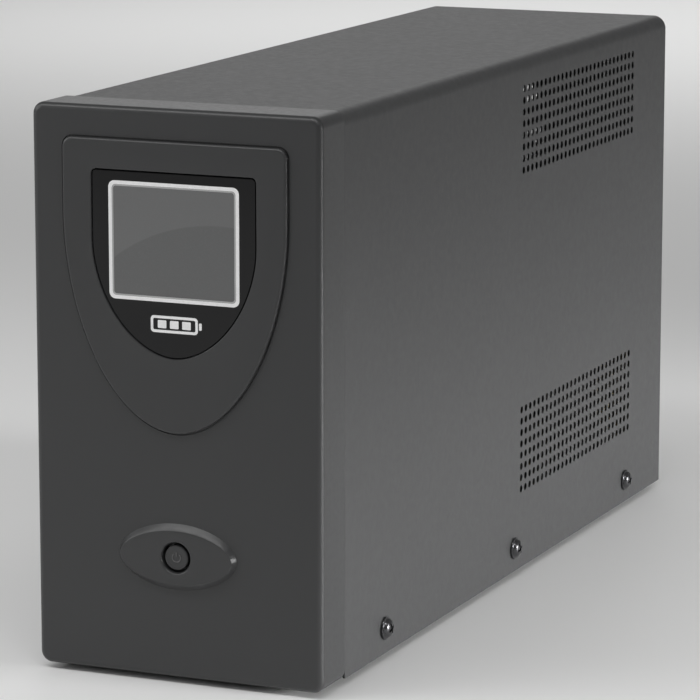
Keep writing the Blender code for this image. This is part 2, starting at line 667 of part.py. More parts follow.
def bezel_outline(inset):
    middle = (0, (BEZEL_BOTTOM + BEZEL_TOP) / 2)
    return rounded_rectangle(
        CASE_WIDTH - 2 * inset, CASE_HEIGHT - 2 * inset, max(BEZEL_CORNER - inset, LEAST_CORNER), middle
    )


def post_places():
    """Posts behind the bezel's front wall that carry the display board's corners."""
    x = DISPLAY_BOARD_WIDTH / 2 - POST_DIAMETER / 2
    low, high = DISPLAY_BOARD_BOTTOM + POST_DIAMETER / 2, DISPLAY_BOARD_TOP - POST_DIAMETER / 2
    return [(side * x, z) for side in (-1, 1) for z in (low, high)]


def make_bezel(paints):
    bm = bmesh.new()
    sections(bm, "Y", bezel_rings())
    bezel = new_object(bm, "front_bezel", paints["bezel_plastic"])
    cut(bezel, "bezel_hollow", lambda bm: prism(
        bm, "Y", bezel_outline(BEZEL_WALL), BEZEL_INNER_Y, BEZEL_BACK_Y + BEZEL_WALL))

    def raised(bm):
        root = FRONT_Y + BEZEL_FRONT_WALL / 2
        sections(bm, "Y", [
            (shield(0, **PLATEAU), root),
            (shield(0, **PLATEAU), PLATEAU_Y + PLATEAU_CHAMFER),
            (shield(PLATEAU_CHAMFER * 0.35, **PLATEAU), PLATEAU_Y + PLATEAU_CHAMFER * 0.35),
            (shield(PLATEAU_CHAMFER, **PLATEAU), PLATEAU_Y),
        ])
        middle = (0, BUTTON_Z)
        tops = (BOSS_HALF_WIDTH - BOSS_SLOPE, BOSS_HALF_HEIGHT - BOSS_SLOPE)
        sections(bm, "Y", [
            (ellipse(BOSS_HALF_WIDTH, BOSS_HALF_HEIGHT, 40, middle), root),
            (ellipse(BOSS_HALF_WIDTH, BOSS_HALF_HEIGHT, 40, middle), FRONT_Y),
            (ellipse(*tops, 40, middle), BOSS_Y),
        ])

    join(bezel, "bezel_raised", raised)

    def inside(bm):
        root = FRONT_Y + BEZEL_FRONT_WALL / 2
        for spot in post_places():
            turned(bm, "Y", [(POST_DIAMETER, root), (POST_DIAMETER, DISPLAY_BOARD_Y - GAP)], 12, spot)
        for spot in tab_places():
            prism(bm, "Y", rectangle(TAB_WIDTH, TAB_THICKNESS, spot), root, WALL_INNER_Y + 2 * TAB_THICKNESS)

    join(bezel, "bezel_posts_and_tabs", inside)

    def openings(bm):
        pocket, opening = shield(0, **WINDOW), shield(WINDOW_LEDGE, **WINDOW)
        sections(bm, "Y", [
            (pocket, PLATEAU_Y - BOSS_HEIGHT), (pocket, LEDGE_Y), (opening, LEDGE_Y),
            (opening, BEZEL_INNER_Y + BEZEL_WALL),
        ])
        bore = BUTTON_DIAMETER + 2 * BUTTON_CLEARANCE
        turned(bm, "Y", [
            (bore + 4 * BUTTON_SINK, BOSS_Y - BUTTON_SINK), (bore, BOSS_Y + BUTTON_SINK),
            (bore, BEZEL_INNER_Y + BEZEL_WALL),
        ], 32, (0, BUTTON_Z))

    cut(bezel, "bezel_openings", openings)


def make_window(paints):
    edge = WINDOW_EDGE
    bm = bmesh.new()
    sections(bm, "Y", [
        (shield(GAP + edge, **WINDOW), WINDOW_Y), (shield(GAP, **WINDOW), WINDOW_Y + edge),
        (shield(GAP, **WINDOW), WINDOW_Y + WINDOW_THICKNESS),
    ])
    new_object(bm, "display_window", paints["window_acrylic"])


def make_display(paints):
    bm = bmesh.new()
    block(bm, (-LCD_WIDTH / 2, 0, -LCD_HEIGHT / 2), (LCD_WIDTH / 2, LCD_THICKNESS, LCD_HEIGHT / 2))
    new_object(bm, "lcd_panel", paints["lcd_glass"], (0, LCD_Y, LCD_Z))

    bm = bmesh.new()
    wide, high = LCD_WIDTH + 2 * BACKLIGHT_BORDER, LCD_HEIGHT + 2 * BACKLIGHT_BORDER
    prism(bm, "Y", rounded_rectangle(wide, high, BACKLIGHT_CORNER, steps=2), 0, BACKLIGHT_THICKNESS)
    new_object(bm, "lcd_backlight", paints["white_plastic"], (0, BACKLIGHT_Y, LCD_Z))

    bm = bmesh.new()
    middle = (DISPLAY_BOARD_BOTTOM + DISPLAY_BOARD_TOP) / 2
    size = (DISPLAY_BOARD_WIDTH, DISPLAY_BOARD_TOP - DISPLAY_BOARD_BOTTOM)
    prism(bm, "Y", rounded_rectangle(*size, BOARD_CORNER, steps=2), 0, BOARD_THICKNESS)
    board = new_object(bm, "display_board", paints["circuit_board"], (0, DISPLAY_BOARD_Y, middle))

    def screw_holes(bm):
        for x, z in post_places():
            prism(bm, "Y", circle(BOARD_HOLE, 10, (x, z - middle)), -GAP, BOARD_THICKNESS + GAP)

    cut(board, "display_board_holes", screw_holes)


def make_power_button(paints):
    """The button's origin is on its face, on the line that it travels along."""
    bm = bmesh.new()
    collar = COLLAR_Y - BUTTON_Y
    stem_end = PLUNGER_Y - GAP - BUTTON_Y
    turned(bm, "Y", [
        (BUTTON_DIAMETER - 2 * BUTTON_EDGE, 0), (BUTTON_DIAMETER - BUTTON_EDGE / 2, BUTTON_EDGE / 2),
        (BUTTON_DIAMETER, 1.5 * BUTTON_EDGE),
        (BUTTON_DIAMETER, collar), (BUTTON_COLLAR, collar), (BUTTON_COLLAR, collar + BUTTON_COLLAR_THICKNESS),
        (BUTTON_STEM, collar + BUTTON_COLLAR_THICKNESS), (BUTTON_STEM, stem_end),
    ], 24)
    new_object(bm, "power_button", paints["bezel_plastic"], (0, BUTTON_Y, BUTTON_Z))

    bm = bmesh.new()
    prism(bm, "Y", rectangle(SWITCH_SIZE, SWITCH_SIZE), 0, SWITCH_HEIGHT)
    switch = new_object(bm, "switch_body", paints["black_plastic"], (0, SWITCH_Y, BUTTON_Z))
    cut(switch, "switch_bore", lambda bm: turned(
        bm, "Y", [(PLUNGER_HOLE, -GAP), (PLUNGER_HOLE, SWITCH_HEIGHT - 2 * GAP)], 16))

    bm = bmesh.new()
    back = SWITCH_Y + SWITCH_HEIGHT - 3 * GAP - BUTTON_TRAVEL - PLUNGER_Y
    turned(bm, "Y", [(PLUNGER_DIAMETER, 0), (PLUNGER_DIAMETER, back)], 14)
    new_object(bm, "switch_plunger", paints["white_plastic"], (0, PLUNGER_Y, BUTTON_Z))


# ---------------------------------------------------------------- battery
def make_battery(paints):
    """Sealed block: a case, the lid welded to it and two tab terminals in the lid's rear corners."""
    middle_y = (BATTERY_Y + BATTERY_REAR_Y) / 2
    lid_z = BATTERY_TOP - BATTERY_LID
    size = (BATTERY_WIDTH, BATTERY_LENGTH)
    bm = bmesh.new()
    prism(bm, "Z", rounded_rectangle(*size, BATTERY_BEVEL, steps=2), 0, lid_z - GAP - FLOOR_Z)
    new_object(bm, "battery_case", paints["battery_plastic"], (0, middle_y, FLOOR_Z))

    bm = bmesh.new()
    wide, high = (side - 2 * BATTERY_LID_BEVEL for side in size)
    trimmed = rounded_rectangle(wide, high, BATTERY_BEVEL, steps=2)
    full = rounded_rectangle(*size, BATTERY_BEVEL, steps=2)
    sections(bm, "Z", [(full, 0), (full, BATTERY_LID - BATTERY_LID_BEVEL), (trimmed, BATTERY_LID)])
    lid = new_object(bm, "battery_lid", paints["battery_plastic"], (0, middle_y, lid_z))
    wide, long, deep = TERMINAL_POCKET

    def pockets(bm):
        for side in (-1, 1):
            x, y = side * TERMINAL_X, TERMINAL_Y - middle_y
            reach = BATTERY_WIDTH / 2 + BATTERY_BEVEL - TERMINAL_X
            left, right = sorted((x - side * wide / 2, x + side * reach))
            block(bm, (left, y - long / 2, BATTERY_LID - deep), (right, BATTERY_LENGTH, BATTERY_LID + deep))

    cut(lid, "terminal_pockets", pockets)
    for side, name in ((1, "positive"), (-1, "negative")):
        bm = bmesh.new()
        half, thick = TERMINAL_WIDTH / 2, TERMINAL_THICKNESS
        angle = [(-half, 0), (half, 0), (half, thick), (thick / 2, thick), (thick / 2, TERMINAL_HEIGHT),
                 (-thick / 2, TERMINAL_HEIGHT), (-thick / 2, thick), (-half, thick)]
        prism(bm, "Y", angle, -half, half)
        new_object(bm, f"battery_terminal_{name}", paints["tinned_brass"],
                   (side * TERMINAL_X, TERMINAL_Y, TERMINAL_BASE_Z))


def make_battery_clamp(paints):
    """A bent strip behind the battery: a flange on the base, an upright and a lip over the lid."""
    sheet = CHASSIS_SHEET
    front, back = CLAMP_Y, CLAMP_Y + sheet
    top = BATTERY_TOP + GAP
    outline = [
        (back + CLAMP_FLANGE, FLOOR_Z), (back + CLAMP_FLANGE, FLOOR_Z + sheet), (back, FLOOR_Z + sheet),
        (back, top + sheet), (front - CLAMP_LIP, top + sheet), (front - CLAMP_LIP, top), (front, top),
        (front, FLOOR_Z),
    ]
    bm = bmesh.new()
    half = TERMINAL_X - TERMINAL_POCKET[0] / 2 - GAP
    prism(bm, "X", outline, -half, half)
    clamp = new_object(bm, "battery_clamp", paints["zinc_steel"])

    def holes(bm):
        for side in (-1, 1):
            spot = (side * half / 2, back + CLAMP_FLANGE / 2)
            prism(bm, "Z", circle(SCREW_HOLE, 12, spot), FLOOR_Z - GAP, FLOOR_Z + sheet + GAP)

    cut(clamp, "clamp_holes", holes)


# ---------------------------------------------------------------- transformer
def bolt_places():
    """The core's four corner bolts, relative to its middle."""
    x, z = CORE_WIDTH / 2 - CORE_LIMB / 2, CORE_HEIGHT / 2 - CORE_LIMB / 2
    return [(-x, -z), (x, -z), (-x, z), (x, z)]


def make_transformer(paints):
    middle_z = FLOOR_Z + CORE_HEIGHT / 2
    place_at = (0, CORE_Y, middle_z)
    half_stack = CORE_STACK / 2
    bm = bmesh.new()
    prism(bm, "Y", rectangle(CORE_WIDTH, CORE_HEIGHT), -half_stack, half_stack)
    core = new_object(bm, "transformer_core", paints["core_steel"], place_at)
    window_height = CORE_HEIGHT - 2 * CORE_LIMB
    window_x = CORE_LIMB + CORE_WINDOW / 2

    def windows(bm):
        for side in (-1, 1):
            prism(bm, "Y", rectangle(CORE_WINDOW, window_height, (side * window_x, 0)), -half_stack - GAP,
                  half_stack + GAP)
        for spot in bolt_places():
            prism(bm, "Y", circle(BOLT_HOLE, 12, spot), -half_stack - GAP, half_stack + GAP)

    cut(core, "core_windows", windows)

    limb = CORE_LIMB + GAP
    flange_half = window_height / 2 - GAP
    bobbin_x, bobbin_y = limb + BOBBIN_WALL, half_stack + GAP + BOBBIN_WALL
    outer_x, outer_y = CORE_LIMB + CORE_WINDOW - GAP, WINDING_LENGTH / 2

    def ring(x, y, at):
        return [(u, v, at) for u, v in rectangle(2 * x, 2 * y)]

    bm = bmesh.new()
    waist = flange_half - BOBBIN_WALL
    loft(bm, [
        ring(limb, half_stack + GAP, -flange_half), ring(outer_x, outer_y, -flange_half),
        ring(outer_x, outer_y, -waist), ring(bobbin_x, bobbin_y, -waist),
        ring(bobbin_x, bobbin_y, waist), ring(outer_x, outer_y, waist),
        ring(outer_x, outer_y, flange_half), ring(limb, half_stack + GAP, flange_half),
    ], ring_loop=True)
    new_object(bm, "transformer_bobbin", paints["white_plastic"], place_at)

    inside_x, inside_y = bobbin_x + GAP, bobbin_y + GAP
    outside_x, outside_y = outer_x - GAP, outer_y - GAP
    tall = waist - GAP
    shoulder = WINDING_SHOULDER
    slim_x, slim_y = outside_x - shoulder, outside_y - shoulder

    def rounded(x, y, at, radius):
        return [(u, v, at) for u, v in rounded_rectangle(2 * x, 2 * y, radius, steps=3)]

    bm = bmesh.new()
    loft(bm, [
        rounded(inside_x, inside_y, -tall, GAP), rounded(slim_x, slim_y, -tall, 2 * shoulder),
        rounded(outside_x, outside_y, shoulder - tall, 2.5 * shoulder),
        rounded(outside_x, outside_y, tall - shoulder, 2.5 * shoulder),
        rounded(slim_x, slim_y, tall, 2 * shoulder), rounded(inside_x, inside_y, tall, GAP),
    ], ring_loop=True)
    new_object(bm, "transformer_winding", paints["winding_tape"], place_at)
    make_transformer_angles(paints)
    make_transformer_bolts(paints, middle_z)


def make_transformer_angles(paints):
    """Angles bolted to the core's front and rear, which stand it on the base."""
    for side, name in ((-1, "front"), (1, "rear")):
        face = CORE_Y + side * (CORE_STACK / 2 + GAP)
        outer, reach = face + side * ANGLE_THICKNESS, face + side * ANGLE_FLANGE
        step = FLOOR_Z + ANGLE_THICKNESS
        top = FLOOR_Z + ANGLE_HEIGHT
        outline = [(face, FLOOR_Z), (reach, FLOOR_Z), (reach, step), (outer, step), (outer, top), (face, top)]
        bm = bmesh.new()
        prism(bm, "X", outline, -CORE_WIDTH / 2, CORE_WIDTH / 2)
        angle = new_object(bm, f"transformer_angle_{name}", paints["zinc_steel"])

        def holes(bm, face=face, outer=outer, reach=reach, step=step):
            for x, z in bolt_places()[:2]:
                start, end = sorted((face, outer))
                spot = (x, z + FLOOR_Z + CORE_HEIGHT / 2)
                prism(bm, "Y", circle(BOLT_HOLE, 12, spot), start - GAP, end + GAP)
            for x in (-CORE_WIDTH / 4, CORE_WIDTH / 4):
                middle = (outer + reach) / 2
                prism(bm, "Z", circle(SCREW_HOLE, 12, (x, middle)), FLOOR_Z - GAP, step + GAP)

        cut(angle, f"angle_{name}_holes", holes)


def make_transformer_bolts(paints, middle_z):
    """Four through bolts along Y, each with its head in front and its nut behind."""
    clamped = CORE_STACK / 2 + ANGLE_THICKNESS + 3 * GAP
    for number, (x, z) in enumerate(bolt_places(), 1):
        ends = [(BOLT_HEAD, -clamped - BOLT_HEAD_HEIGHT), (BOLT_HEAD, -clamped), (BOLT_DIAMETER, -clamped),
                (BOLT_DIAMETER, clamped), (BOLT_HEAD, clamped), (BOLT_HEAD, clamped + BOLT_HEAD_HEIGHT)]
        bm = bmesh.new()
        turned(bm, "Y", ends, 12)
        new_object(bm, f"transformer_bolt_{number}", paints["zinc_steel"], (x, CORE_Y, middle_z + z))


# ---------------------------------------------------------------- shelf and boards
def standoff_places():
    x = MAIN_BOARD_HALF - STANDOFF_DIAMETER
    front, rear = MAIN_BOARD_FRONT_Y + STANDOFF_DIAMETER, MAIN_BOARD_REAR_Y - STANDOFF_DIAMETER
    return [(side * x, y) for side in (-1, 1) for y in (front, rear)]


def notch_places():
    """(side, y) of the notches that the leads rise through."""
    return [(1, TERMINAL_Y), (-1, TERMINAL_Y), (-1, CORE_Y)]


def make_shelf(paints):
    """A bent sheet over the battery and the transformer, with pressed posts for the inverter board."""
    sheet = CHASSIS_SHEET
    front = WALL_INNER_Y + GAP
    leg = SHELF_LEG_Y
    foot = leg + sheet + CLAMP_FLANGE
    drop = SHELF_Z - CLAMP_FLANGE
    outline = [
        (front, drop), (front + sheet, drop), (front + sheet, SHELF_Z), (leg, SHELF_Z), (leg, FLOOR_Z),
        (foot, FLOOR_Z), (foot, FLOOR_Z + sheet), (leg + sheet, FLOOR_Z + sheet), (leg + sheet, SHELF_TOP),
        (front, SHELF_TOP),
    ]
    bm = bmesh.new()
    prism(bm, "X", outline, -SHELF_HALF, SHELF_HALF)
    shelf = new_object(bm, "board_shelf", paints["zinc_steel"])

    def posts(bm):
        ends = [(STANDOFF_DIAMETER, SHELF_Z + sheet / 2), (STANDOFF_DIAMETER, SHELF_TOP + STANDOFF_HEIGHT)]
        for spot in standoff_places():
            turned(bm, "Z", ends, 12, spot)

    join(shelf, "shelf_posts", posts)

    def openings(bm):
        for side, y in notch_places():
            inner, outer = sorted((side * MAIN_BOARD_HALF, side * CASE_WIDTH))
            low, high = y - SHELF_NOTCH_LENGTH / 2, y + SHELF_NOTCH_LENGTH / 2
            block(bm, (inner, low, SHELF_Z - sheet), (outer, high, SHELF_TOP + sheet))
        wide, tall = SHELF_HALF, (SHELF_Z - FLOOR_Z) / 2
        middle = (0, (SHELF_Z + FLOOR_Z) / 2)
        prism(bm, "Y", rounded_rectangle(wide, tall, SHELF_WINDOW_CORNER, middle, 2), leg - sheet, leg + 2 * sheet)

    cut(shelf, "shelf_openings", openings)


def make_main_board(paints):
    bm = bmesh.new()
    middle_y = (MAIN_BOARD_FRONT_Y + MAIN_BOARD_REAR_Y) / 2
    outline = rounded_rectangle(2 * MAIN_BOARD_HALF, MAIN_BOARD_LENGTH, BOARD_CORNER, steps=2)
    prism(bm, "Z", outline, 0, BOARD_THICKNESS)
    board = new_object(bm, "main_board", paints["circuit_board"], (0, middle_y, MAIN_BOARD_Z))

    def screw_holes(bm):
        for x, y in standoff_places():
            prism(bm, "Z", circle(BOARD_HOLE, 10, (x, y - middle_y)), -GAP, BOARD_THICKNESS + GAP)

    cut(board, "main_board_holes", screw_holes)
    on_board = MAIN_BOARD_TOP + GAP
    make_heatsinks(paints, on_board, middle_y)
    make_board_parts(paints, on_board)


def make_heatsinks(paints, on_board, middle_y):
    """Two comb-section extrusions, fins outwards, along the inverter board."""
    pitch = (HEATSINK_HEIGHT - HEATSINK_FIN) / (HEATSINK_FINS - 1)
    outline = [(0, 0)]
    for fin in range(HEATSINK_FINS):
        z = fin * pitch
        outline += [(HEATSINK_DEPTH, z), (HEATSINK_DEPTH, z + HEATSINK_FIN)]
        if fin < HEATSINK_FINS - 1:
            outline += [(HEATSINK_BASE, z + HEATSINK_FIN), (HEATSINK_BASE, z + pitch)]
    outline.append((0, HEATSINK_HEIGHT))
    root = MAIN_BOARD_HALF - STANDOFF_DIAMETER * 1.5 - HEATSINK_DEPTH
    for number, side in ((1, 1), (2, -1)):
        bm = bmesh.new()
        prism(bm, "Y", [(side * u, v) for u, v in outline], -HEATSINK_LENGTH / 2, HEATSINK_LENGTH / 2)
        new_object(bm, f"heatsink_{number}", paints["aluminium"], (side * root, middle_y, on_board))


def make_board_parts(paints, on_board):
    """The tallest of the board's other parts: a reservoir capacitor and a mains relay."""
    bm = bmesh.new()
    turned(bm, "Z", [
        (CAPACITOR_DIAMETER, 0), (CAPACITOR_DIAMETER, CAPACITOR_HEIGHT - CAN_EDGE),
        (CAPACITOR_DIAMETER - 2 * CAN_EDGE, CAPACITOR_HEIGHT),
    ], 20)
    y = MAIN_BOARD_FRONT_Y + CAPACITOR_DIAMETER
    new_object(bm, "capacitor", paints["capacitor_sleeve"], (0, y, on_board))

    wide, long, high = RELAY_SIZE
    bm = bmesh.new()
    sections(bm, "Z", [
        (rectangle(wide, long), 0), (rectangle(wide, long), high - CAN_EDGE),
        (rectangle(wide - 2 * CAN_EDGE, long - 2 * CAN_EDGE), high),
    ])
    new_object(bm, "relay", paints["black_plastic"], (0, MAIN_BOARD_REAR_Y - long, on_board))


# ---------------------------------------------------------------- fan
def fan_corners():
    half = FAN_HOLE_SPACING / 2
    return [(FAN_X + a * half, FAN_Z + b * half) for a in (-1, 1) for b in (-1, 1)]


def make_fan_frame(paints):
    """Square frame; at its rear, four struts hold the motor plate and the bearing tube."""
    bm = bmesh.new()
    outline = rounded_rectangle(FAN_SIZE, FAN_SIZE, FAN_CORNER, steps=2)
    prism(bm, "Y", outline, -FAN_DEPTH, 0)
    frame = new_object(bm, "fan_frame", paints["black_plastic"], (FAN_X, FAN_BACK_Y, FAN_Z))

    def bore(bm):
        turned(bm, "Y", [(FAN_BORE, -FAN_DEPTH - GAP), (FAN_BORE, GAP)], 32)
        half = FAN_HOLE_SPACING / 2
        for a, b in ((-1, -1), (-1, 1), (1, -1), (1, 1)):
            turned(bm, "Y", [(FAN_HOLE, -FAN_DEPTH - GAP), (FAN_HOLE, GAP)], 10, (a * half, b * half))

    cut(frame, "fan_bore", bore)
    thick = FAN_PLATE_THICKNESS

    reach = (FAN_BORE + FAN_RIM) / 2

    def struts(bm):
        block(bm, (-reach, -thick, -FAN_STRUT / 2), (reach, -GAP, FAN_STRUT / 2))

    def cross_struts(bm):
        block(bm, (-FAN_STRUT / 2, -thick + GAP / 2, -reach), (FAN_STRUT / 2, -GAP * 1.5, reach))

    def motor_plate(bm):
        turned(bm, "Y", [
            (FAN_TUBE, -fan_tube_length()), (FAN_TUBE, -thick - GAP / 2), (FAN_MOTOR_PLATE, -thick - GAP / 2),
            (FAN_MOTOR_PLATE, -GAP / 2),
        ], 24)

    join(frame, "fan_struts", struts)
    join(frame, "fan_cross_struts", cross_struts)
    join(frame, "fan_motor_plate", motor_plate)
    bearing = FAN_SHAFT + 4 * GAP
    cut(frame, "fan_bearing", lambda bm: turned(
        bm, "Y", [(bearing, -FAN_DEPTH), (bearing, -thick / 2)], 12))


def fan_tube_length():
    """Bearing tube, from the frame's rear face to just short of the hub's inside."""
    return FAN_PLATE_THICKNESS + FAN_HUB_GAP + FAN_HUB_DEPTH - FAN_HUB_FLOOR - 3 * FAN_HUB_GAP


def make_fan_rotor(paints):
    """Hub cup with its shaft, and pitched blades. The origin is on the axis that it spins about."""
    hub_back = -FAN_PLATE_THICKNESS - FAN_HUB_GAP
    hub_front = hub_back - FAN_HUB_DEPTH
    floor = hub_front + FAN_HUB_FLOOR
    wall = FAN_HUB_WALL
    inside = FAN_HUB - 2 * wall
    bm = bmesh.new()
    turned(bm, "Y", [
        (inside, hub_front), (FAN_HUB, hub_front + wall), (FAN_HUB, hub_back), (inside, hub_back),
        (inside, floor), (FAN_SHAFT, floor), (FAN_SHAFT, -FAN_PLATE_THICKNESS + GAP),
    ], 24)
    rotor = new_object(bm, "fan_rotor", paints["black_plastic"], (FAN_X, FAN_BACK_Y, FAN_Z))
    root, tip = FAN_HUB / 2 - wall / 2, FAN_BORE / 2 - FAN_TIP_CLEARANCE
    middle = (hub_front + hub_back) / 2

    def blades(bm):
        for number in range(FAN_BLADES):
            start = 2 * math.pi * number / FAN_BLADES
            rings = []
            for share in (0, 0.5, 1):
                radius = root + (tip - root) * share
                pitch = math.radians(52 - 20 * share)
                chord = BLADE_CHORD + BLADE_CHORD_GROWTH * share
                rings.append(blade_section(radius, start + 0.18 * share, pitch, chord, middle))
            loft(bm, rings)

    join(rotor, "fan_blades", blades)


def blade_section(radius, turn, pitch, chord, middle):
    """A thin arched section on the cylinder of this radius, as four points along each face."""
    points = []
    for side in (-1, 1):
        for step in range(4):
            along = (step / 3 - 0.5) * -side
            height = 0.10 * chord * (1 - 4 * along * along) + side * FAN_BLADE_THICKNESS / 2
            across = chord * along * math.cos(pitch) + height * math.sin(pitch)
            depth = chord * along * math.sin(pitch) - height * math.cos(pitch)
            angle = turn + across / radius
            points.append((radius * math.cos(angle), middle + depth, radius * math.sin(angle)))
    return points


def make_fan_guard(paints):
    """Wire guard: four arms against the panel, each ending in a screw eye, and rings welded on them."""
    wire = GUARD_WIRE
    sink = GUARD_SINK
    arm_y = wire / 2 + GAP
    ring_y = arm_y + wire - sink
    eye = FAN_SCREW_SHANK / 2 + wire / 2 + GUARD_EYE_PLAY
    half = FAN_HOLE_SPACING / 2
    corner = half * math.sqrt(2)
    bm = bmesh.new()
    wire_ring(bm, (0, ring_y, 0), GUARD_RINGS[-1], wire, 28)
    guard = new_object(bm, "fan_guard", paints["zinc_steel"], (FAN_X, PANEL_Y, FAN_Z))

    def inner_rings(bm):
        for radius, segments in zip(GUARD_RINGS[:-1], (14, 20)):
            wire_ring(bm, (0, ring_y, 0), radius, wire, segments)

    def arms(bm):
        for number in range(4):
            turn = math.radians(45 + 90 * number)
            out = Vector((math.cos(turn), 0, math.sin(turn)))
            side = Vector((-math.sin(turn), 0, math.cos(turn)))
            across = arc(wire / 2, 15, 375, 6)[:-1]
            ends = (GUARD_RINGS[0] - wire, corner - eye + wire * 0.2)
            loft(bm, [[out * end + side * a + Vector((0, arm_y + b, 0)) for a, b in across] for end in ends])

    def eyes(bm):
        for a, b in ((-1, -1), (-1, 1), (1, -1), (1, 1)):
            wire_ring(bm, (a * half, arm_y, b * half), eye, wire * 0.96, 10)

    join(guard, "guard_arms", arms)
    join(guard, "guard_inner_rings", inner_rings)
    join(guard, "guard_eyes", eyes)


def make_fan_screws(paints):
    head = PANEL_Y + 2 * GAP + GUARD_WIRE
    shank, tip = FAN_SCREW_SHANK, -FAN_SCREW_LENGTH
    for number, (x, z) in enumerate(fan_corners(), 1):
        bm = bmesh.new()
        turned(bm, "Y", [
            (shank * 0.6, tip), (shank, tip * 0.9), (shank, 0),
            (FAN_SCREW_HEAD, 0), (FAN_SCREW_HEAD, FAN_SCREW_HEAD_HEIGHT * 0.5),
            (FAN_SCREW_HEAD * 0.6, FAN_SCREW_HEAD_HEIGHT),
        ], 14)
        new_object(bm, f"fan_screw_{number}", paints["screw_steel"], (x, head, z))


# ---------------------------------------------------------------- rear sockets and ports
def outlet_places():
    return [(side * SOCKET_X, z) for z in SOCKET_ROWS[1:] for side in (-1, 1)]


def inlet_place():
    return (-SOCKET_X, SOCKET_ROWS[0])


def breaker_place():
    return (SOCKET_X, SOCKET_ROWS[0])


def pin_places():
    """Live and neutral side by side, and earth above them."""
    return [(-IEC_PIN_SPREAD, -IEC_PIN_STAGGER), (IEC_PIN_SPREAD, -IEC_PIN_STAGGER), (0, IEC_PIN_STAGGER)]


def socket_body(name, paints, spot):
    """Flange outside the panel and body through it; Y is 0 on the panel's outer face."""
    front = GAP + SOCKET_FLANGE_THICKNESS
    bevel = SOCKET_BEVEL
    wide, high = SOCKET_FLANGE
    flange = rounded_rectangle(wide, high, SOCKET_CORNER, steps=3)
    trimmed = rounded_rectangle(wide - 2 * bevel, high - 2 * bevel, SOCKET_CORNER - bevel, steps=3)
    body = rounded_rectangle(*SOCKET_BODY, bevel, steps=3)
    bm = bmesh.new()
    sections(bm, "Y", [
        (body, GAP - SOCKET_DEPTH), (body, GAP), (flange, GAP), (flange, front - bevel), (trimmed, front),
    ])
    return new_object(bm, name, paints["black_plastic"], (spot[0], PANEL_Y, spot[1])), front


def make_outlets(paints):
    """Female outlets: a groove for the plug's shroud round a block with three slots."""
    for number, spot in enumerate(outlet_places(), 1):
        outlet, front = socket_body(f"outlet_{number}", paints, spot)

        def groove(bm, front=front):
            outer, inner = iec_outline(IEC_MOUTH), iec_outline(IEC_BLOCK, IEC_CORNER * 0.8)
            low, high = front - IEC_DEPTH, front + GAP
            steps = ((outer, low), (outer, high), (inner, high), (inner, low))
            loft(bm, [[place("Y", u, v, at) for u, v in outline] for outline, at in steps], ring_loop=True)
            for x, z in pin_places():
                prism(bm, "Y", rectangle(*IEC_SLOT, (x, z)), front - IEC_DEPTH + GAP, front + GAP)

        cut(outlet, f"outlet_{number}_mouth", groove)


def make_inlet(paints):
    """Male inlet: a well with three pins."""
    inlet, front = socket_body("ac_inlet", paints, inlet_place())
    floor = front - IEC_DEPTH
    cut(inlet, "inlet_well", lambda bm: prism(bm, "Y", iec_outline(IEC_MOUTH), floor, front + GAP))

    def pins(bm):
        for spot in pin_places():
            prism(bm, "Y", rectangle(*IEC_PIN, spot), floor - IEC_PIN_ROOT, front - IEC_PIN_SETBACK)

    join(inlet, "inlet_pins", pins)


def make_breaker(paints):
    """Thermal breaker: body inside, threaded bush and nut outside, and a reset button that pops out."""
    x, z = breaker_place()
    wide, high = BREAKER_BODY
    bm = bmesh.new()
    turned(bm, "Y", [
        (BREAKER_BUSH, -CHASSIS_SHEET - BREAKER_BUSH_ROOT), (BREAKER_BUSH, GAP), (BREAKER_NUT, GAP),
        (BREAKER_NUT, GAP + BREAKER_NUT_THICKNESS), (BREAKER_BUSH, GAP + BREAKER_NUT_THICKNESS),
        (BREAKER_BUSH, BREAKER_BUSH_PROUD - BREAKER_CHAMFER),
        (BREAKER_BUSH - 2 * BREAKER_CHAMFER, BREAKER_BUSH_PROUD),
    ], 24)
    body = new_object(bm, "breaker_body", paints["black_plastic"], (x, PANEL_Y, z))
    start = -CHASSIS_SHEET - GAP
    join(body, "breaker_box", lambda bm: prism(bm, "Y", rectangle(wide, high), start - BREAKER_DEPTH, start))
    bore = [(BREAKER_BORE, -BREAKER_BORE_DEPTH), (BREAKER_BORE, BREAKER_BUSH_PROUD + GAP)]
    cut(body, "breaker_bore", lambda bm: turned(bm, "Y", bore))

    bm = bmesh.new()
    end = BREAKER_BUSH_PROUD + BREAKER_BUTTON_PROUD
    turned(bm, "Y", [
        (BREAKER_BUTTON, GAP - BREAKER_BORE_DEPTH - end), (BREAKER_BUTTON, -BREAKER_CHAMFER),
        (BREAKER_BUTTON - 2 * BREAKER_CHAMFER, 0),
    ], 20)
    new_object(bm, "breaker_button", paints["white_plastic"], (x, PANEL_Y + end, z))


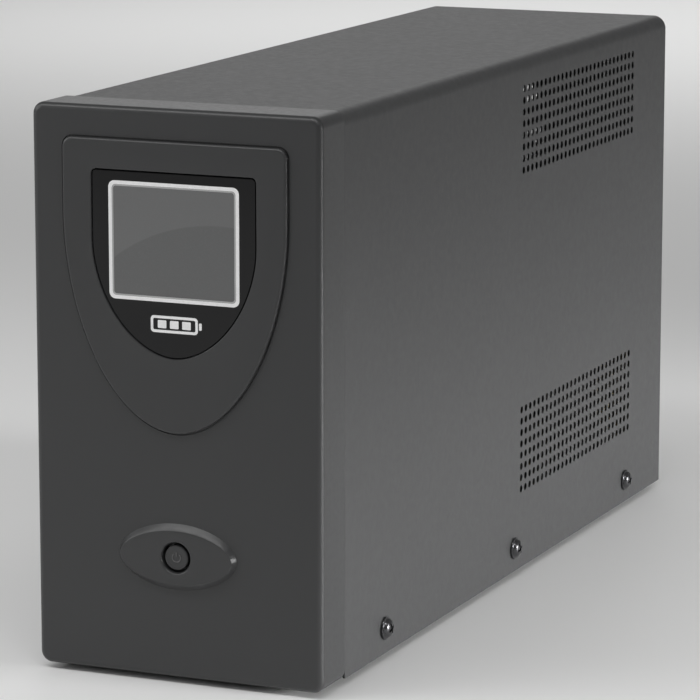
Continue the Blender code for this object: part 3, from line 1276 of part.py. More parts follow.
def make_ports(paints):
    wide, high = PORT_BODY
    bm = bmesh.new()
    prism(bm, "Y", rectangle(wide, high), -PORT_DEPTH, PORT_PROUD)
    ports = new_object(bm, "data_ports", paints["black_plastic"], (PORT_X, PANEL_Y, PORT_Z))

    def mouths(bm):
        for side in (-1, 1):
            u, v = PORT_MOUTH[0] / 2, PORT_MOUTH[1] / 2
            key_u, key_v = PORT_LATCH[0] / 2, PORT_LATCH[1]
            top = v + key_v
            right = [(u, -v), (u, v), (key_u, v), (key_u, top)]
            outline = right + [(-a, b) for a, b in reversed(right)]
            at = side * PORT_PITCH / 2 - key_v / 2
            prism(bm, "Y", [(a, b + at) for a, b in outline], PORT_PROUD - PORT_MOUTH_DEPTH, PORT_PROUD + GAP)

    cut(ports, "data_port_mouths", mouths)

    bm = bmesh.new()
    prism(bm, "Y", rectangle(*USB_BODY), -USB_DEPTH, PORT_PROUD)
    usb = new_object(bm, "usb_port", paints["zinc_steel"], (PORT_X, PANEL_Y, USB_Z))
    floor = PORT_PROUD - USB_MOUTH_DEPTH

    def mouth(bm):
        u, v = USB_MOUTH[0] / 2, USB_MOUTH[1] / 2
        right = [(u, -v), (u, v - USB_CORNER), (u - USB_CORNER, v)]
        outline = right + [(-a, b) for a, b in reversed(right)]
        prism(bm, "Y", outline, floor, PORT_PROUD + GAP)

    cut(usb, "usb_mouth", mouth)
    tongue_end = PORT_PROUD - USB_TONGUE_SETBACK
    join(usb, "usb_tongue", lambda bm: prism(bm, "Y", rectangle(*USB_TONGUE), floor - 2 * GAP, tongue_end))


# ---------------------------------------------------------------- leads
def smooth_route(points, per_span=3):
    """Points along the Catmull-Rom curve through the route's own points."""
    knots = [Vector(p) for p in (points[0], *points, points[-1])]
    route = []
    for a, b, c, d in zip(knots, knots[1:], knots[2:], knots[3:]):
        for i in range(per_span):
            t = i / per_span
            square, cube = 2 * a - 5 * b + 4 * c - d, 3 * b - a - 3 * c + d
            route.append(0.5 * (2 * b + (c - a) * t + square * t**2 + cube * t**3))
    return route + [knots[-1]]


def lead(name, points, material, diameter=LEAD_DIAMETER):
    curve = bpy.data.curves.new(name, "CURVE")
    curve.dimensions = "3D"
    curve.bevel_depth = diameter / 2
    curve.bevel_resolution = LEAD_SIDES
    curve.use_fill_caps = True
    spline = curve.splines.new("POLY")
    route = smooth_route(points)
    spline.points.add(len(route) - 1)
    for target, point in zip(spline.points, route):
        target.co = (*point, 1)
    curve.materials.append(material)
    bpy.context.scene.collection.objects.link(bpy.data.objects.new(name, curve))


def make_leads(paints):
    """Battery, transformer and display leads, each from its terminal to the inverter board."""
    land = MAIN_BOARD_TOP + 2 * GAP
    inward = MAIN_BOARD_HALF - 0.004
    arch = land + 0.010
    start_z = TERMINAL_TOP + GAP
    for side, name, material in ((1, "positive", "red_pvc"), (-1, "negative", "black_pvc")):
        route = [
            (TERMINAL_X, start_z), (TERMINAL_X + 0.002, start_z + 0.002), (LEAD_X - 0.004, SHELF_Z - 0.004),
            (LEAD_X, SHELF_Z + 0.001), (LEAD_X, land + 0.004), ((LEAD_X + inward) / 2, arch),
            (inward, land + 0.004), (inward, land),
        ]
        lead(f"battery_lead_{name}", [(side * x, TERMINAL_Y, z) for x, z in route], paints[material])
    top, y = FLOOR_Z + CORE_HEIGHT - CORE_LIMB, CORE_Y
    start_x, start_y = -CORE_LIMB * 1.6, y + CORE_STACK / 2 + WINDING_OVERHANG / 2
    lead("transformer_lead", [
        (start_x, start_y, top + GAP), (start_x, start_y, top + 0.010), (start_x, start_y - 0.002, top + 0.020),
        (-LEAD_X * 0.8, y + 0.022, top + 0.028), (-LEAD_X, y, SHELF_Z - 0.002), (-LEAD_X, y, land + 0.004),
        (-(LEAD_X + inward) / 2, y, arch), (-inward, y, land + 0.004), (-inward, y, land),
    ], paints["grey_pvc"])
    cable_z = MAIN_BOARD_TOP + SHELF_NOTCH_LENGTH
    end_y = MAIN_BOARD_FRONT_Y + 0.006
    route = [
        (DISPLAY_BOARD_BACK_Y + GAP, cable_z), (WALL_Y, cable_z), (WALL_INNER_Y + 0.008, cable_z + 0.001),
        ((WALL_INNER_Y + end_y) / 2, cable_z - 0.004), (end_y - 0.006, land + 0.012), (end_y, land + 0.004),
        (end_y, land),
    ]
    lead("display_cable", [(0, y, z) for y, z in route], paints["grey_pvc"])


def main():
    for item in list(bpy.data.objects):
        bpy.data.objects.remove(item, do_unlink=True)
    paints = make_paints()
    make_cover(paints)
    make_chassis(paints)
    make_cover_screws(paints)
    make_feet(paints)
    make_bezel(paints)
    make_window(paints)
    make_display(paints)
    make_power_button(paints)
    make_battery(paints)
    make_battery_clamp(paints)
    make_transformer(paints)
    make_shelf(paints)
    make_main_board(paints)
    make_fan_frame(paints)
    make_fan_rotor(paints)
    make_fan_guard(paints)
    make_fan_screws(paints)
    make_outlets(paints)
    make_inlet(paints)
    make_breaker(paints)
    make_ports(paints)
    make_leads(paints)


main()
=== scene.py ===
"""Studio picture of a tower uninterruptible power supply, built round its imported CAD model."""
import json
import math

import bmesh
import bpy
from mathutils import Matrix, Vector


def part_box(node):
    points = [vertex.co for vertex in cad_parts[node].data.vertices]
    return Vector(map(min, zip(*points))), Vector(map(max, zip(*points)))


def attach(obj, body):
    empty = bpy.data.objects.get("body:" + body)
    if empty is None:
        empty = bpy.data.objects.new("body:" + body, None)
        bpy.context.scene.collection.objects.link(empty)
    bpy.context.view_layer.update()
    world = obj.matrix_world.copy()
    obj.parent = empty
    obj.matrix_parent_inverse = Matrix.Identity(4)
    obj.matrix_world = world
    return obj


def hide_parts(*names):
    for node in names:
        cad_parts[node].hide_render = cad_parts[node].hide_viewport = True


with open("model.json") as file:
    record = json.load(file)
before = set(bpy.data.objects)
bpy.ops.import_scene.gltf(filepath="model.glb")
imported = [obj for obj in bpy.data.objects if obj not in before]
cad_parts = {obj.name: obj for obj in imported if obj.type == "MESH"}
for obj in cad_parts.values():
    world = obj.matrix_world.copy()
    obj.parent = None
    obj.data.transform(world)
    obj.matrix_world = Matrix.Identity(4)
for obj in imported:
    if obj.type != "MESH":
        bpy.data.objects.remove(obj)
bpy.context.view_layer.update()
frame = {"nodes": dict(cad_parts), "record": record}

# Sizes, in metres
MM = 0.001

# Cover: a folded sheet with two fields of round holes on each flank's rear half
SHEET = 0.8 * MM
COVER_CORNER = 5.0 * MM
SHEET_EDGE = 0.12 * MM
PUNCH_BREAK = 0.2 * MM
BEND_STEPS = 10
VENT_PITCH = 4.42 * MM
VENT_ROW_PITCH = 4.25 * MM
VENT_HOLE = 2.6 * MM
VENT_ROWS = 8
VENT_COLUMNS = 28
VENT_START = 164.4 * MM  # cover's front edge to the first column
UPPER_VENT_DROP = 11.1 * MM
LOWER_VENT_RISE = 29.6 * MM
HOLE_SIDES = 16

# Bezel; heights are above its bottom edge
BOSS_HEIGHT = 2.0 * MM
BEZEL_DEPTH = 19.0 * MM
BEZEL_WALL = 2.2 * MM
BEZEL_FRONT_WALL = 2.5 * MM
BEZEL_CORNER = 4.0 * MM
BEZEL_FILLET = 2.2 * MM
BEZEL_REAR_EDGE = 0.5 * MM
PLATEAU_HEIGHT = 1.5 * MM
PLATEAU_EDGE = 1.0 * MM
PLATEAU = dict(half=40.3, top=179.4, spring=155.0, bottom=83.0, corner=3.5, power=1.95)
WINDOW = dict(half=29.6, top=169.4, spring=146.0, bottom=108.0, corner=1.8, power=1.85)
GROOVE_WIDTH = 0.6 * MM
GROOVE_DEPTH = 0.5 * MM
WINDOW_GAP = 0.3 * MM
WINDOW_LEDGE = 2.0 * MM
WINDOW_RIM = 0.45 * MM
BOSS_HALF_WIDTH = 21.4 * MM
BOSS_HALF_HEIGHT = 11.25 * MM
BOSS_FACE_HALF_WIDTH = 20.2 * MM
BOSS_FACE_HALF_HEIGHT = 8.9 * MM
BOSS_POINT = 0.05  # how much narrower than an ellipse its ends are
BUTTON_BORE = 10.2 * MM
BUTTON_RIM = 0.8 * MM
BUTTON_FACE = (
    (0.5, 0.2), (3.0, 0.17), (5.4, 0.08), (7.0, 0.01), (7.5, 0.0), (8.0, 0.05), (8.35, 0.2), (8.55, 0.45),
    (8.6, 0.8),
)  # the cap's dished face, for from_face
BUTTON_COLLAR = ((8.6, 0.0), (12.5, 0.0), (12.5, 1.0), (4.0, 1.0))
PRY_NOTCH = (1.5 * MM, 11.5 * MM, 1.6 * MM)  # under each flank: its start and end behind the face, its height

# Display
PRINT_SIZE = (46.9 * MM, 39.1 * MM)
PRINT_LINE = 1.2 * MM
PRINT_REACH = 1.75 * MM  # frame's outside to the inside of its grey line, a painted bevel shade
PRINT_GAP = 0.02 * MM
PRINT_CORNER = 2.2 * MM
PRINT_THICKNESS = 0.06 * MM
PRINT_RISE = 146.3 * MM  # bezel's bottom to the middle of the printed frame
BATTERY_SIGN_RISE = 119.4 * MM
BATTERY_SIGN = (17.0 * MM, 5.6 * MM)

# Feet: millimetres over the foot's diameter and above the floor, then from_face steps from its top
FOOT_PAD = ((-4.0, 0.25), (-3.6, 0), (-1.8, 0), (-0.7, 0.25), (-0.1, 0.8), (0, 1.5), (0, 2.6), (-0.5, 2.9))
FOOT_STEM = ((5.0, -2.0), (7.5, -2.0), (7.2, -1.5), (5.0, 0.0))

# Rear sockets
PANEL_GAP = 0.3 * MM
FLANGE_THICKNESS = 1.7 * MM
FLANGE_CORNER = 2.5 * MM
FLANGE_BEVEL = 0.6 * MM
SOCKET_BODY = (29.0 * MM, 22.2 * MM)
IEC_MOUTH = (26.2 * MM, 19.0 * MM)
IEC_BLOCK = (21.8 * MM, 14.6 * MM)
IEC_CORNER = 4.5 * MM
IEC_EDGE = 0.5 * MM
IEC_DEPTH = 15.5 * MM
IEC_PIN = (2.0 * MM, 4.0 * MM)
IEC_PIN_SETBACK = 2.5 * MM
IEC_SLOT = (2.6 * MM, 5.2 * MM)
IEC_PLACES = ((-7.0 * MM, -2.0 * MM), (7.0 * MM, -2.0 * MM), (0.0, 2.0 * MM))

# Breaker and data ports
BREAKER_BUSH = 11.0 * MM
BREAKER_NUT = 15.5 * MM
BREAKER_NUT_THICKNESS = 2.5 * MM
BREAKER_BORE = 7.4  # in millimetres, for from_face
BREAKER_BUSH_PROUD = 5.0 * MM
BREAKER_CAP = ((6.6, -0.9), (6.4, -0.45), (5.9, -0.12), (5.1, 0.0), (3.6, -0.05), (1.0, -0.15))
PORT_MOUTH = (11.8 * MM, 8.2 * MM)
PORT_LATCH = (4.0 * MM, 1.8 * MM)
PORT_PITCH = 14.2 * MM
PORT_DEPTH = 12.5 * MM
USB_MOUTH = (8.5 * MM, 7.8 * MM)
USB_TONGUE = (5.6 * MM, 3.2 * MM)
USB_DEPTH = 8.5 * MM

# Fan
FAN_BORE = 57.0 * MM
FAN_HOLE_SPACING = 50.0 * MM
FAN_HUB = 26.0 * MM
FAN_HUB_DEPTH = 19.0 * MM
HUB_NOSE = ((21.5, 0.0), (24.5, 0.25), (25.6, 0.8), (26.0, 1.6))
FAN_PLATE = (
    (7.5, -18.0), (7.5, -2.0), (27.5, -2.0), (27.5, -0.7), (27.1, -0.35), (26.3, -0.2), (9.0, -0.2),
    (8.0, -0.6), (1.0, -0.6),
)  # motor tube and plate, from the frame's rear face
FAN_BEARING = ((4.2, -25.0), (4.2, -1.2))
FAN_PLATE_THICKNESS = 2.0 * MM
FAN_STRUT = 3.5 * MM
FAN_BLADES = 7
FAN_BLADE_THICKNESS = 1.2 * MM
FAN_TIP_CLEARANCE = 1.2 * MM
GUARD_WIRE = 1.6 * MM
GUARD_RINGS = (10.0 * MM, 18.0 * MM, 26.0 * MM)
GUARD_EYE = 2.8 * MM


# Outlines, as lists of (u, v)
def arc(radius, start, end, steps, centre=(0.0, 0.0)):
    """Points along an arc, both ends included; angles are in degrees."""
    angles = [math.radians(start + (end - start) * i / steps) for i in range(steps + 1)]
    return [(centre[0] + radius * math.cos(a), centre[1] + radius * math.sin(a)) for a in angles]


def circle(diameter, segments=48, centre=(0.0, 0.0)):
    return arc(diameter / 2, 0, 360, segments, centre)[:-1]


def rounded(width, height, radius, centre=(0.0, 0.0), steps=6):
    """A rectangle with round corners."""
    points = []
    for quarter, (a, b) in enumerate(((1, 1), (-1, 1), (-1, -1), (1, -1))):
        corner = (centre[0] + a * (width / 2 - radius), centre[1] + b * (height / 2 - radius))
        points += arc(radius, 90 * quarter, 90 * quarter + 90, steps, corner)
    return points


def shield(inset, half, top, spring, bottom, corner, power, steps=40):
    """A flat top with round corners, straight sides down to the spring line, then a superellipse to
    the tip. Its sizes are in millimetres above the bezel's bottom edge."""
    inset /= MM
    half, top, bottom = half - inset, top - inset, bottom + inset
    corner = max(corner - inset, 0.3)
    points = arc(corner, 0, 90, 8, (half - corner, top - corner))
    points += arc(corner, 90, 180, 8, (-half + corner, top - corner))
    for i in range(2 * steps + 1):
        angle = math.pi * i / (2 * steps)
        across = math.copysign(abs(math.cos(angle)) ** (2 / power), math.cos(angle))
        down = math.sin(angle) ** (2 / power)
        points.append((-half * across, spring - (spring - bottom) * down))
    return [(u * MM, v * MM + BEZEL_BOTTOM) for u, v in points]


def six_sided(u, v, cut_off, centre, radius):
    """A rectangle of half sizes u and v with its upper corners cut off and every corner rounded."""
    points = [(u, -v), (u, v - cut_off), (u - cut_off, v), (-u + cut_off, v), (-u, v - cut_off), (-u, -v)]
    return softened([(centre[0] + a, centre[1] + b) for a, b in points], radius)


def softened(points, radius, steps=4):
    """A polygon with its corners rounded."""
    made = []
    for before, here, after in zip([points[-1], *points], points, [*points[1:], points[0]]):
        corner = Vector(here)
        back, ahead = (Vector(before) - corner).normalized(), (Vector(after) - corner).normalized()
        reach = radius / math.tan(back.angle(ahead) / 2)
        start, end = corner + back * reach, corner + ahead * reach
        for i in range(steps + 1):
            t = i / steps
            made.append(tuple(start * (1 - t) ** 2 + corner * 2 * t * (1 - t) + end * t * t))
    return made


def connector(size, growth, centre):
    """The six-sided mouth of a mains connector, grown by an amount all round."""
    cut_off = IEC_CORNER + growth * (2 - math.sqrt(2))
    return six_sided(size[0] / 2 + growth, size[1] / 2 + growth, cut_off, centre, 0.5 * MM)


def lens(half_width, half_height, centre, segments=96):
    """An ellipse whose two ends are drawn in to soft points."""
    points = []
    for u, v in circle(2, segments):
        points.append((centre[0] + half_width * u, centre[1] + half_height * v * (1 - BOSS_POINT * u * u)))
    return points


# Mesh building
def place(axis, u, v, w):
    """A point whose outline coordinates are (u, v), at w along the axis."""
    return {"X": (w, u, v), "Y": (u, w, v), "Z": (u, v, w)}[axis]


def loft(bm, rings, ring_loop=False):
    """Joins rings of equally many points. The ends are capped unless the rings close on themselves."""
    layers = [[bm.verts.new(point) for point in ring] for ring in rings]
    count = len(layers[0])
    pairs = list(zip(layers, layers[1:])) + ([(layers[-1], layers[0])] if ring_loop else [])
    for low, high in pairs:
        for i in range(count):
            j = (i + 1) % count
            bm.faces.new((low[i], low[j], high[j], high[i]))
    if not ring_loop:
        bm.faces.new(layers[0])
        bm.faces.new(layers[-1])


def sections(bm, steps, axis="Y", ring_loop=False):
    """Lofts (outline, position) pairs along an axis."""
    loft(bm, [[place(axis, u, v, at) for u, v in outline] for outline, at in steps], ring_loop)


def prism(bm, outline, start, end, axis="Y"):
    sections(bm, [(outline, start), (outline, end)], axis)


def slab(bm, low, high):
    (x0, y0, z0), (x1, y1, z1) = low, high
    prism(bm, [(x0, y0), (x1, y0), (x1, y1), (x0, y1)], z0, z1, "Z")


def turned(bm, profile, segments, centre, axis="Y"):
    """Turns (diameter, position) steps about an axis through centre."""
    sections(bm, [(circle(diameter, segments, centre), at) for diameter, at in profile], axis)


def from_face(face, *steps):
    """A (diameter, position) step for each pair of a diameter and a height above the face, in millimetres."""
    return [(diameter * MM, face + height * MM) for diameter, height in steps]


def eased(outline, face, edge, steps, side=1):
    """Steps round a block's edge, from its face back to its side. The block lies on that side of its face."""
    turns = [math.pi / 2 * i / steps for i in range(steps + 1)]
    return [(outline(edge * (1 - math.sin(t))), face + side * edge * (1 - math.cos(t))) for t in turns]


def lip(outline, face, edge):
    """Steps up a wall, round its rim and past the face, where outline(0) is the wall's own."""
    return [(outline(edge * out), face + edge * up) for out, up in ((0, -1), (0.3, -0.3), (1, 0), (2, 1))]


def tube(bm, path, radius, sides=10, closed=False):
    """A round wire along the points of a path."""
    points = [Vector(p) for p in path]
    count = len(points)
    rings = []
    normal = None
    for i, point in enumerate(points):
        before = points[i - 1] if closed or i else point
        after = points[(i + 1) % count] if closed or i < count - 1 else point
        ahead = (after - before).normalized()
        if normal is None:
            normal = ahead.orthogonal().normalized()
        normal = (normal - ahead * normal.dot(ahead)).normalized()
        across = ahead.cross(normal)
        rings.append([point + normal * u + across * v for u, v in circle(2 * radius, sides)])
    loft(bm, rings, closed)


def new_object(name, data):
    made = bpy.data.objects.new(name, data)
    bpy.context.scene.collection.objects.link(made)
    return made


def mesh_of(bm, name, sharp=30):
    bmesh.ops.recalc_face_normals(bm, faces=bm.faces)
    mesh = bpy.data.meshes.new(name)
    bm.to_mesh(mesh)
    bm.free()
    mesh.shade_smooth()
    mesh.set_sharp_from_angle(angle=math.radians(sharp))
    return mesh


def piece(name, draw, slot, body="root", replaces=(), sharp=30, steps=(), paint=None):
    """One shown piece: draw(bm) makes it, then each step joins or cuts one more shape."""
    bm = bmesh.new()
    draw(bm)
    made = new_object(name, mesh_of(bm, name, sharp))
    for operation, tool in steps:
        carve(made, operation, tool)
    if steps:
        made.data.shade_smooth()
        made.data.set_sharp_from_angle(angle=math.radians(sharp))
    smooth = made.modifiers.new("flat_faces", "WEIGHTED_NORMAL")
    smooth.keep_sharp = True
    made.data.materials.clear()
    made.data.materials.append(PAINTS[paint or slot])
    if replaces:
        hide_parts(*replaces)
    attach(made, body)


def cut(draw):
    return "DIFFERENCE", draw


def join(draw):
    return "UNION", draw


def carve(target, operation, draw):
    """Applies one Boolean, whose tool is drawn by draw(bm)."""
    bm = bmesh.new()
    draw(bm)
    tool = new_object("tool", mesh_of(bm, "tool"))
    modifier = target.modifiers.new("carve", "BOOLEAN")
    modifier.operation = operation
    modifier.solver = "EXACT"
    modifier.object = tool
    graph = bpy.context.evaluated_depsgraph_get()
    result = bpy.data.meshes.new_from_object(target.evaluated_get(graph))
    target.modifiers.remove(modifier)
    target.data = result
    bpy.data.objects.remove(tool)


def box_of(node):
    low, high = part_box(node)
    return low, high, (low + high) / 2


# Materials
class Paint:
    """A Principled material with the few nodes that its surface needs, laid out by this class."""

    def __init__(self, name, colour, roughness, metallic=0.0, **constants):
        self.material = bpy.data.materials.new(name)
        self.material.use_nodes = True
        self.tree = self.material.node_tree
        self.shader = self.tree.nodes["Principled BSDF"]
        self.colour = (*colour, 1.0)
        self.shader.inputs["Base Color"].default_value = self.colour
        self.shader.inputs["Roughness"].default_value = roughness
        self.shader.inputs["Metallic"].default_value = metallic
        for socket, value in constants.items():
            self.shader.inputs[socket.replace("_", " ")].default_value = value
        self.roughness = roughness
        self.place = self.tree.nodes.new("ShaderNodeTexCoord").outputs["Object"]
        self.height = None

    def node(self, kind, **values):
        made = self.tree.nodes.new(kind)
        for key, value in values.items():
            if key in made.inputs:
                made.inputs[key].default_value = value
            else:
                setattr(made, key, value)
        return made

    def link(self, out, into):
        self.tree.links.new(out, into)

    def stretched(self, scale):
        """Object coordinates with a scale of their own along each axis."""
        mapping = self.node("ShaderNodeMapping")
        mapping.inputs["Scale"].default_value = scale
        self.link(self.place, mapping.inputs["Vector"])
        return mapping.outputs["Vector"]

    def noise(self, scale, detail=3.0, stretch=None):
        made = self.node("ShaderNodeTexNoise", Scale=scale, Detail=detail)
        self.link(self.stretched(stretch) if stretch else self.place, made.inputs["Vector"])
        return made.outputs["Fac"]

    def cells(self, scale):
        made = self.node("ShaderNodeTexVoronoi", Scale=scale)
        self.link(self.place, made.inputs["Vector"])
        return made.outputs["Distance"]

    def ranged(self, value, low, high, new_low, new_high):
        made = self.node("ShaderNodeMapRange")
        for socket, number in zip(("From Min", "From Max", "To Min", "To Max"), (low, high, new_low, new_high)):
            made.inputs[socket].default_value = number
        self.link(value, made.inputs["Value"])
        return made.outputs["Result"]

    def maths(self, operation, *values):
        made = self.node("ShaderNodeMath", operation=operation)
        for socket, value in zip(made.inputs, values):
            if isinstance(value, float):
                socket.default_value = value
            else:
                self.link(value, socket)
        return made.outputs["Value"]

    def axes(self):
        split = self.node("ShaderNodeSeparateXYZ")
        self.link(self.place, split.inputs["Vector"])
        return split.outputs["X"], split.outputs["Z"]

    def length(self, first, second):
        squares = [self.maths("MULTIPLY", value, value) for value in (first, second)]
        return self.maths("SQRT", self.maths("ADD", *squares))

    def mix(self, share, first, second):
        made = self.node("ShaderNodeMix", data_type="RGBA")
        for socket, value in (("A", first), ("B", second)):
            target = [s for s in made.inputs if s.name == socket and s.type == "RGBA"][0]
            if isinstance(value, tuple):
                target.default_value = value
            else:
                self.link(value, target)
        factor = [s for s in made.inputs if s.name == "Factor" and s.type == "VALUE"][0]
        self.link(share, factor)
        return [s for s in made.outputs if s.type == "RGBA"][0]

    def tint(self, share, second):
        """Mixes a second colour into the base colour where share is high."""
        socket = self.shader.inputs["Base Color"]
        first = socket.links[0].from_socket if socket.links else self.colour
        self.link(self.mix(share, first, (*second, 1.0)), socket)

    def rough(self, value, low, high, spread):
        """Roughness varies by spread as value goes from low to high."""
        wanted = self.ranged(value, low, high, self.roughness - spread, self.roughness + spread)
        self.link(wanted, self.shader.inputs["Roughness"])

    def bump(self, value, distance):
        made = self.node("ShaderNodeBump", Strength=1.0, Distance=distance)
        self.link(value, made.inputs["Height"])
        if self.height:
            self.link(self.height, made.inputs["Normal"])
        self.height = made.outputs["Normal"]
        self.link(self.height, self.shader.inputs["Normal"])

    def worn(self, colour):
        """Edges that stick out are rubbed to a second colour."""
        edges = self.node("ShaderNodeNewGeometry").outputs["Pointiness"]
        self.tint(self.ranged(edges, 0.53, 0.62, 0.0, 0.5), colour)


def powder_coat(name, shell=None):
    """Fine textured powder coat on steel: a soft orange peel under small grains. The inside and the
    punched edges of a shell, given as its half width and its top, are tinted near black as painted shade."""
    colour = (0.050, 0.0505, 0.0515)
    paint = Paint(name, colour, 0.46, Specular_IOR_Level=0.45)
    patches = paint.noise(14.0, 2.0)
    paint.tint(paint.ranged(patches, 0.35, 0.75, 0.0, 0.3), tuple(c * 1.08 for c in colour))
    grains = paint.noise(3800.0, 2.0)
    paint.tint(paint.ranged(grains, 0.55, 0.75, 0.0, 0.30), tuple(c * 1.5 for c in colour))
    paint.rough(paint.noise(400.0, 3.0), 0.3, 0.7, 0.03)
    paint.bump(paint.noise(1500.0, 3.0), 0.00006)
    paint.bump(grains, 0.00004)
    if shell:
        # Painted shade: deeper than the outer skin the colour goes near black, so the vent holes read dark.
        half, top = shell
        x, z = paint.axes()
        x = paint.maths("ABSOLUTE", x)
        over_x = paint.maths("MAXIMUM", paint.maths("SUBTRACT", x, half - COVER_CORNER), 0.0)
        over_z = paint.maths("MAXIMUM", paint.maths("SUBTRACT", z, top - COVER_CORNER), 0.0)
        outwards = paint.length(over_x, over_z)
        painted_inner_shade = paint.ranged(outwards, COVER_CORNER - 0.25 * MM, COVER_CORNER - 0.15 * MM, 1.0, 0.0)
        paint.tint(painted_inner_shade, (0.004, 0.004, 0.004))
    return paint.material


def moulded_plastic(name, colour, roughness, grain=0.00003):
    """Spark-textured moulding: fine even grain, faint flow marks, and edges polished by handling."""
    paint = Paint(name, colour, roughness, Specular_IOR_Level=0.5)
    flow = paint.noise(26.0, 4.0, (1.0, 1.0, 0.25))
    paint.tint(paint.ranged(flow, 0.35, 0.7, 0.0, 0.3), tuple(c * 1.07 for c in colour))
    paint.rough(paint.noise(500.0, 2.0), 0.3, 0.7, 0.03)
    paint.bump(paint.noise(3200.0, 2.0), grain)
    paint.worn(tuple(min(c * 1.6, 1.0) for c in colour))
    return paint.material


def smoked_acrylic(name):
    """Polished black window: faint hairlines and dust over a clear gloss."""
    paint = Paint(name, (0.0045, 0.0045, 0.005), 0.09, Specular_IOR_Level=0.35)
    hairlines = paint.noise(900.0, 1.0, (0.06, 1.0, 1.0))
    paint.rough(hairlines, 0.55, 0.8, 0.035)
    dust = paint.cells(420.0)
    paint.tint(paint.ranged(dust, 0.05, 0.02, 0.0, 0.25), (0.04, 0.04, 0.04))
    return paint.material


def display_glass(name, middle):
    """Unlit liquid-crystal panel. Its front has two tones that meet on one long curve; the lighter one, outside
    the curve, is a painted reflection.
    """
    coat = {"Specular_IOR_Level": 0.4, "Coat_Weight": 0.3, "Coat_Roughness": 0.08}
    paint = Paint(name, (0.120, 0.121, 0.122), 0.22, **coat)
    x, z = paint.axes()
    radius = 63.0 * MM
    across = paint.maths("SUBTRACT", x, middle[0] + 16.0 * MM)
    up = paint.maths("SUBTRACT", z, middle[1] + 6.6 * MM - radius)
    outside = paint.length(across, up)
    # Painted reflection: the panel is lighter outside the curve.
    painted_reflection = paint.ranged(outside, radius - 0.25 * MM, radius + 0.25 * MM, 0.0, 1.0)
    paint.tint(painted_reflection, (0.145, 0.146, 0.147))
    cells = paint.noise(2600.0, 1.0)
    paint.tint(paint.ranged(cells, 0.5, 0.8, 0.0, 0.2), (0.18, 0.18, 0.18))
    return paint.material


# Also makes two tones of painted light: the display frame's grey bevel shade and the button symbol's highlight.
def silver_print(name, tone):
    paint = Paint(name, (tone, tone, tone), 0.38, Specular_IOR_Level=0.4)
    shade = tone * 0.85
    paint.tint(paint.ranged(paint.noise(2500.0, 2.0), 0.45, 0.75, 0.0, 0.5), (shade, shade, shade))
    paint.bump(paint.noise(1800.0, 2.0), 0.00001)
    return paint.material


def plated_steel(name, colour, roughness, tarnish, brushed=(1.0, 1.0, 1.0)):
    """Plated metal: fine brushing or mottling, and a darker film in patches."""
    paint = Paint(name, colour, roughness, 1.0)
    paint.tint(paint.ranged(paint.noise(90.0, 4.0), 0.45, 0.75, 0.0, 0.55), tarnish)
    lines = paint.noise(1200.0, 3.0, brushed)
    paint.rough(lines, 0.35, 0.7, 0.07)
    paint.bump(lines, 0.000015)
    return paint.material


def rubber(name):
    paint = Paint(name, (0.014, 0.014, 0.014), 0.82)
    paint.tint(paint.ranged(paint.noise(160.0, 4.0), 0.5, 0.8, 0.0, 0.5), (0.05, 0.048, 0.045))
    paint.bump(paint.noise(1400.0, 3.0), 0.00008)
    return paint.material


def circuit_board(name):
    """Green solder mask over copper tracks, with tinned pads."""
    paint = Paint(name, (0.012, 0.085, 0.030), 0.32, Coat_Weight=0.4, Coat_Roughness=0.15)
    tracks = paint.node("ShaderNodeTexBrick", Scale=240.0, offset=0.5)
    tracks.inputs["Mortar Size"].default_value = 0.09
    tracks.inputs["Brick Width"].default_value = 1.6
    paint.link(paint.place, tracks.inputs["Vector"])
    paint.tint(paint.ranged(tracks.outputs["Fac"], 0.0, 1.0, 0.0, 0.75), (0.020, 0.15, 0.055))
    pads = paint.cells(260.0)
    paint.tint(paint.ranged(pads, 0.16, 0.10, 0.0, 0.85), (0.50, 0.49, 0.46))
    paint.bump(tracks.outputs["Fac"], 0.00004)
    return paint.material


def laminations(name):
    """Edges of a stack of varnished steel stampings."""
    paint = Paint(name, (0.085, 0.082, 0.078), 0.5, 0.75)
    sheets = paint.node("ShaderNodeTexWave", bands_direction="Y", Scale=480.0, Distortion=0.15)
    paint.link(paint.place, sheets.inputs["Vector"])
    paint.tint(paint.ranged(sheets.outputs["Fac"], 0.2, 0.8, 0.0, 0.6), (0.17, 0.165, 0.16))
    paint.tint(paint.ranged(paint.noise(60.0, 5.0), 0.58, 0.75, 0.0, 0.6), (0.14, 0.055, 0.025))
    paint.bump(sheets.outputs["Fac"], 0.00012)
    return paint.material


def wound_tape(name):
    """Yellow polyester tape in overlapping turns."""
    paint = Paint(name, (0.62, 0.40, 0.045), 0.3, Coat_Weight=0.5, Coat_Roughness=0.12)
    wave = {"bands_direction": "Z", "wave_profile": "SAW", "Scale": 32.0, "Distortion": 0.4}
    turns = paint.node("ShaderNodeTexWave", **wave)
    paint.link(paint.place, turns.inputs["Vector"])
    paint.tint(paint.ranged(turns.outputs["Fac"], 0.0, 1.0, 0.0, 0.35), (0.40, 0.22, 0.02))
    paint.bump(turns.outputs["Fac"], 0.0002)
    paint.bump(paint.noise(220.0, 3.0), 0.0001)
    return paint.material


def pvc(name, colour):
    paint = Paint(name, colour, 0.38, Specular_IOR_Level=0.5)
    faded = tuple(min(1, c * 1.3 + 0.01) for c in colour)
    paint.tint(paint.ranged(paint.noise(300.0, 3.0), 0.5, 0.8, 0.0, 0.4), faded)
    paint.bump(paint.noise(700.0, 2.0), 0.00004)
    return paint.material


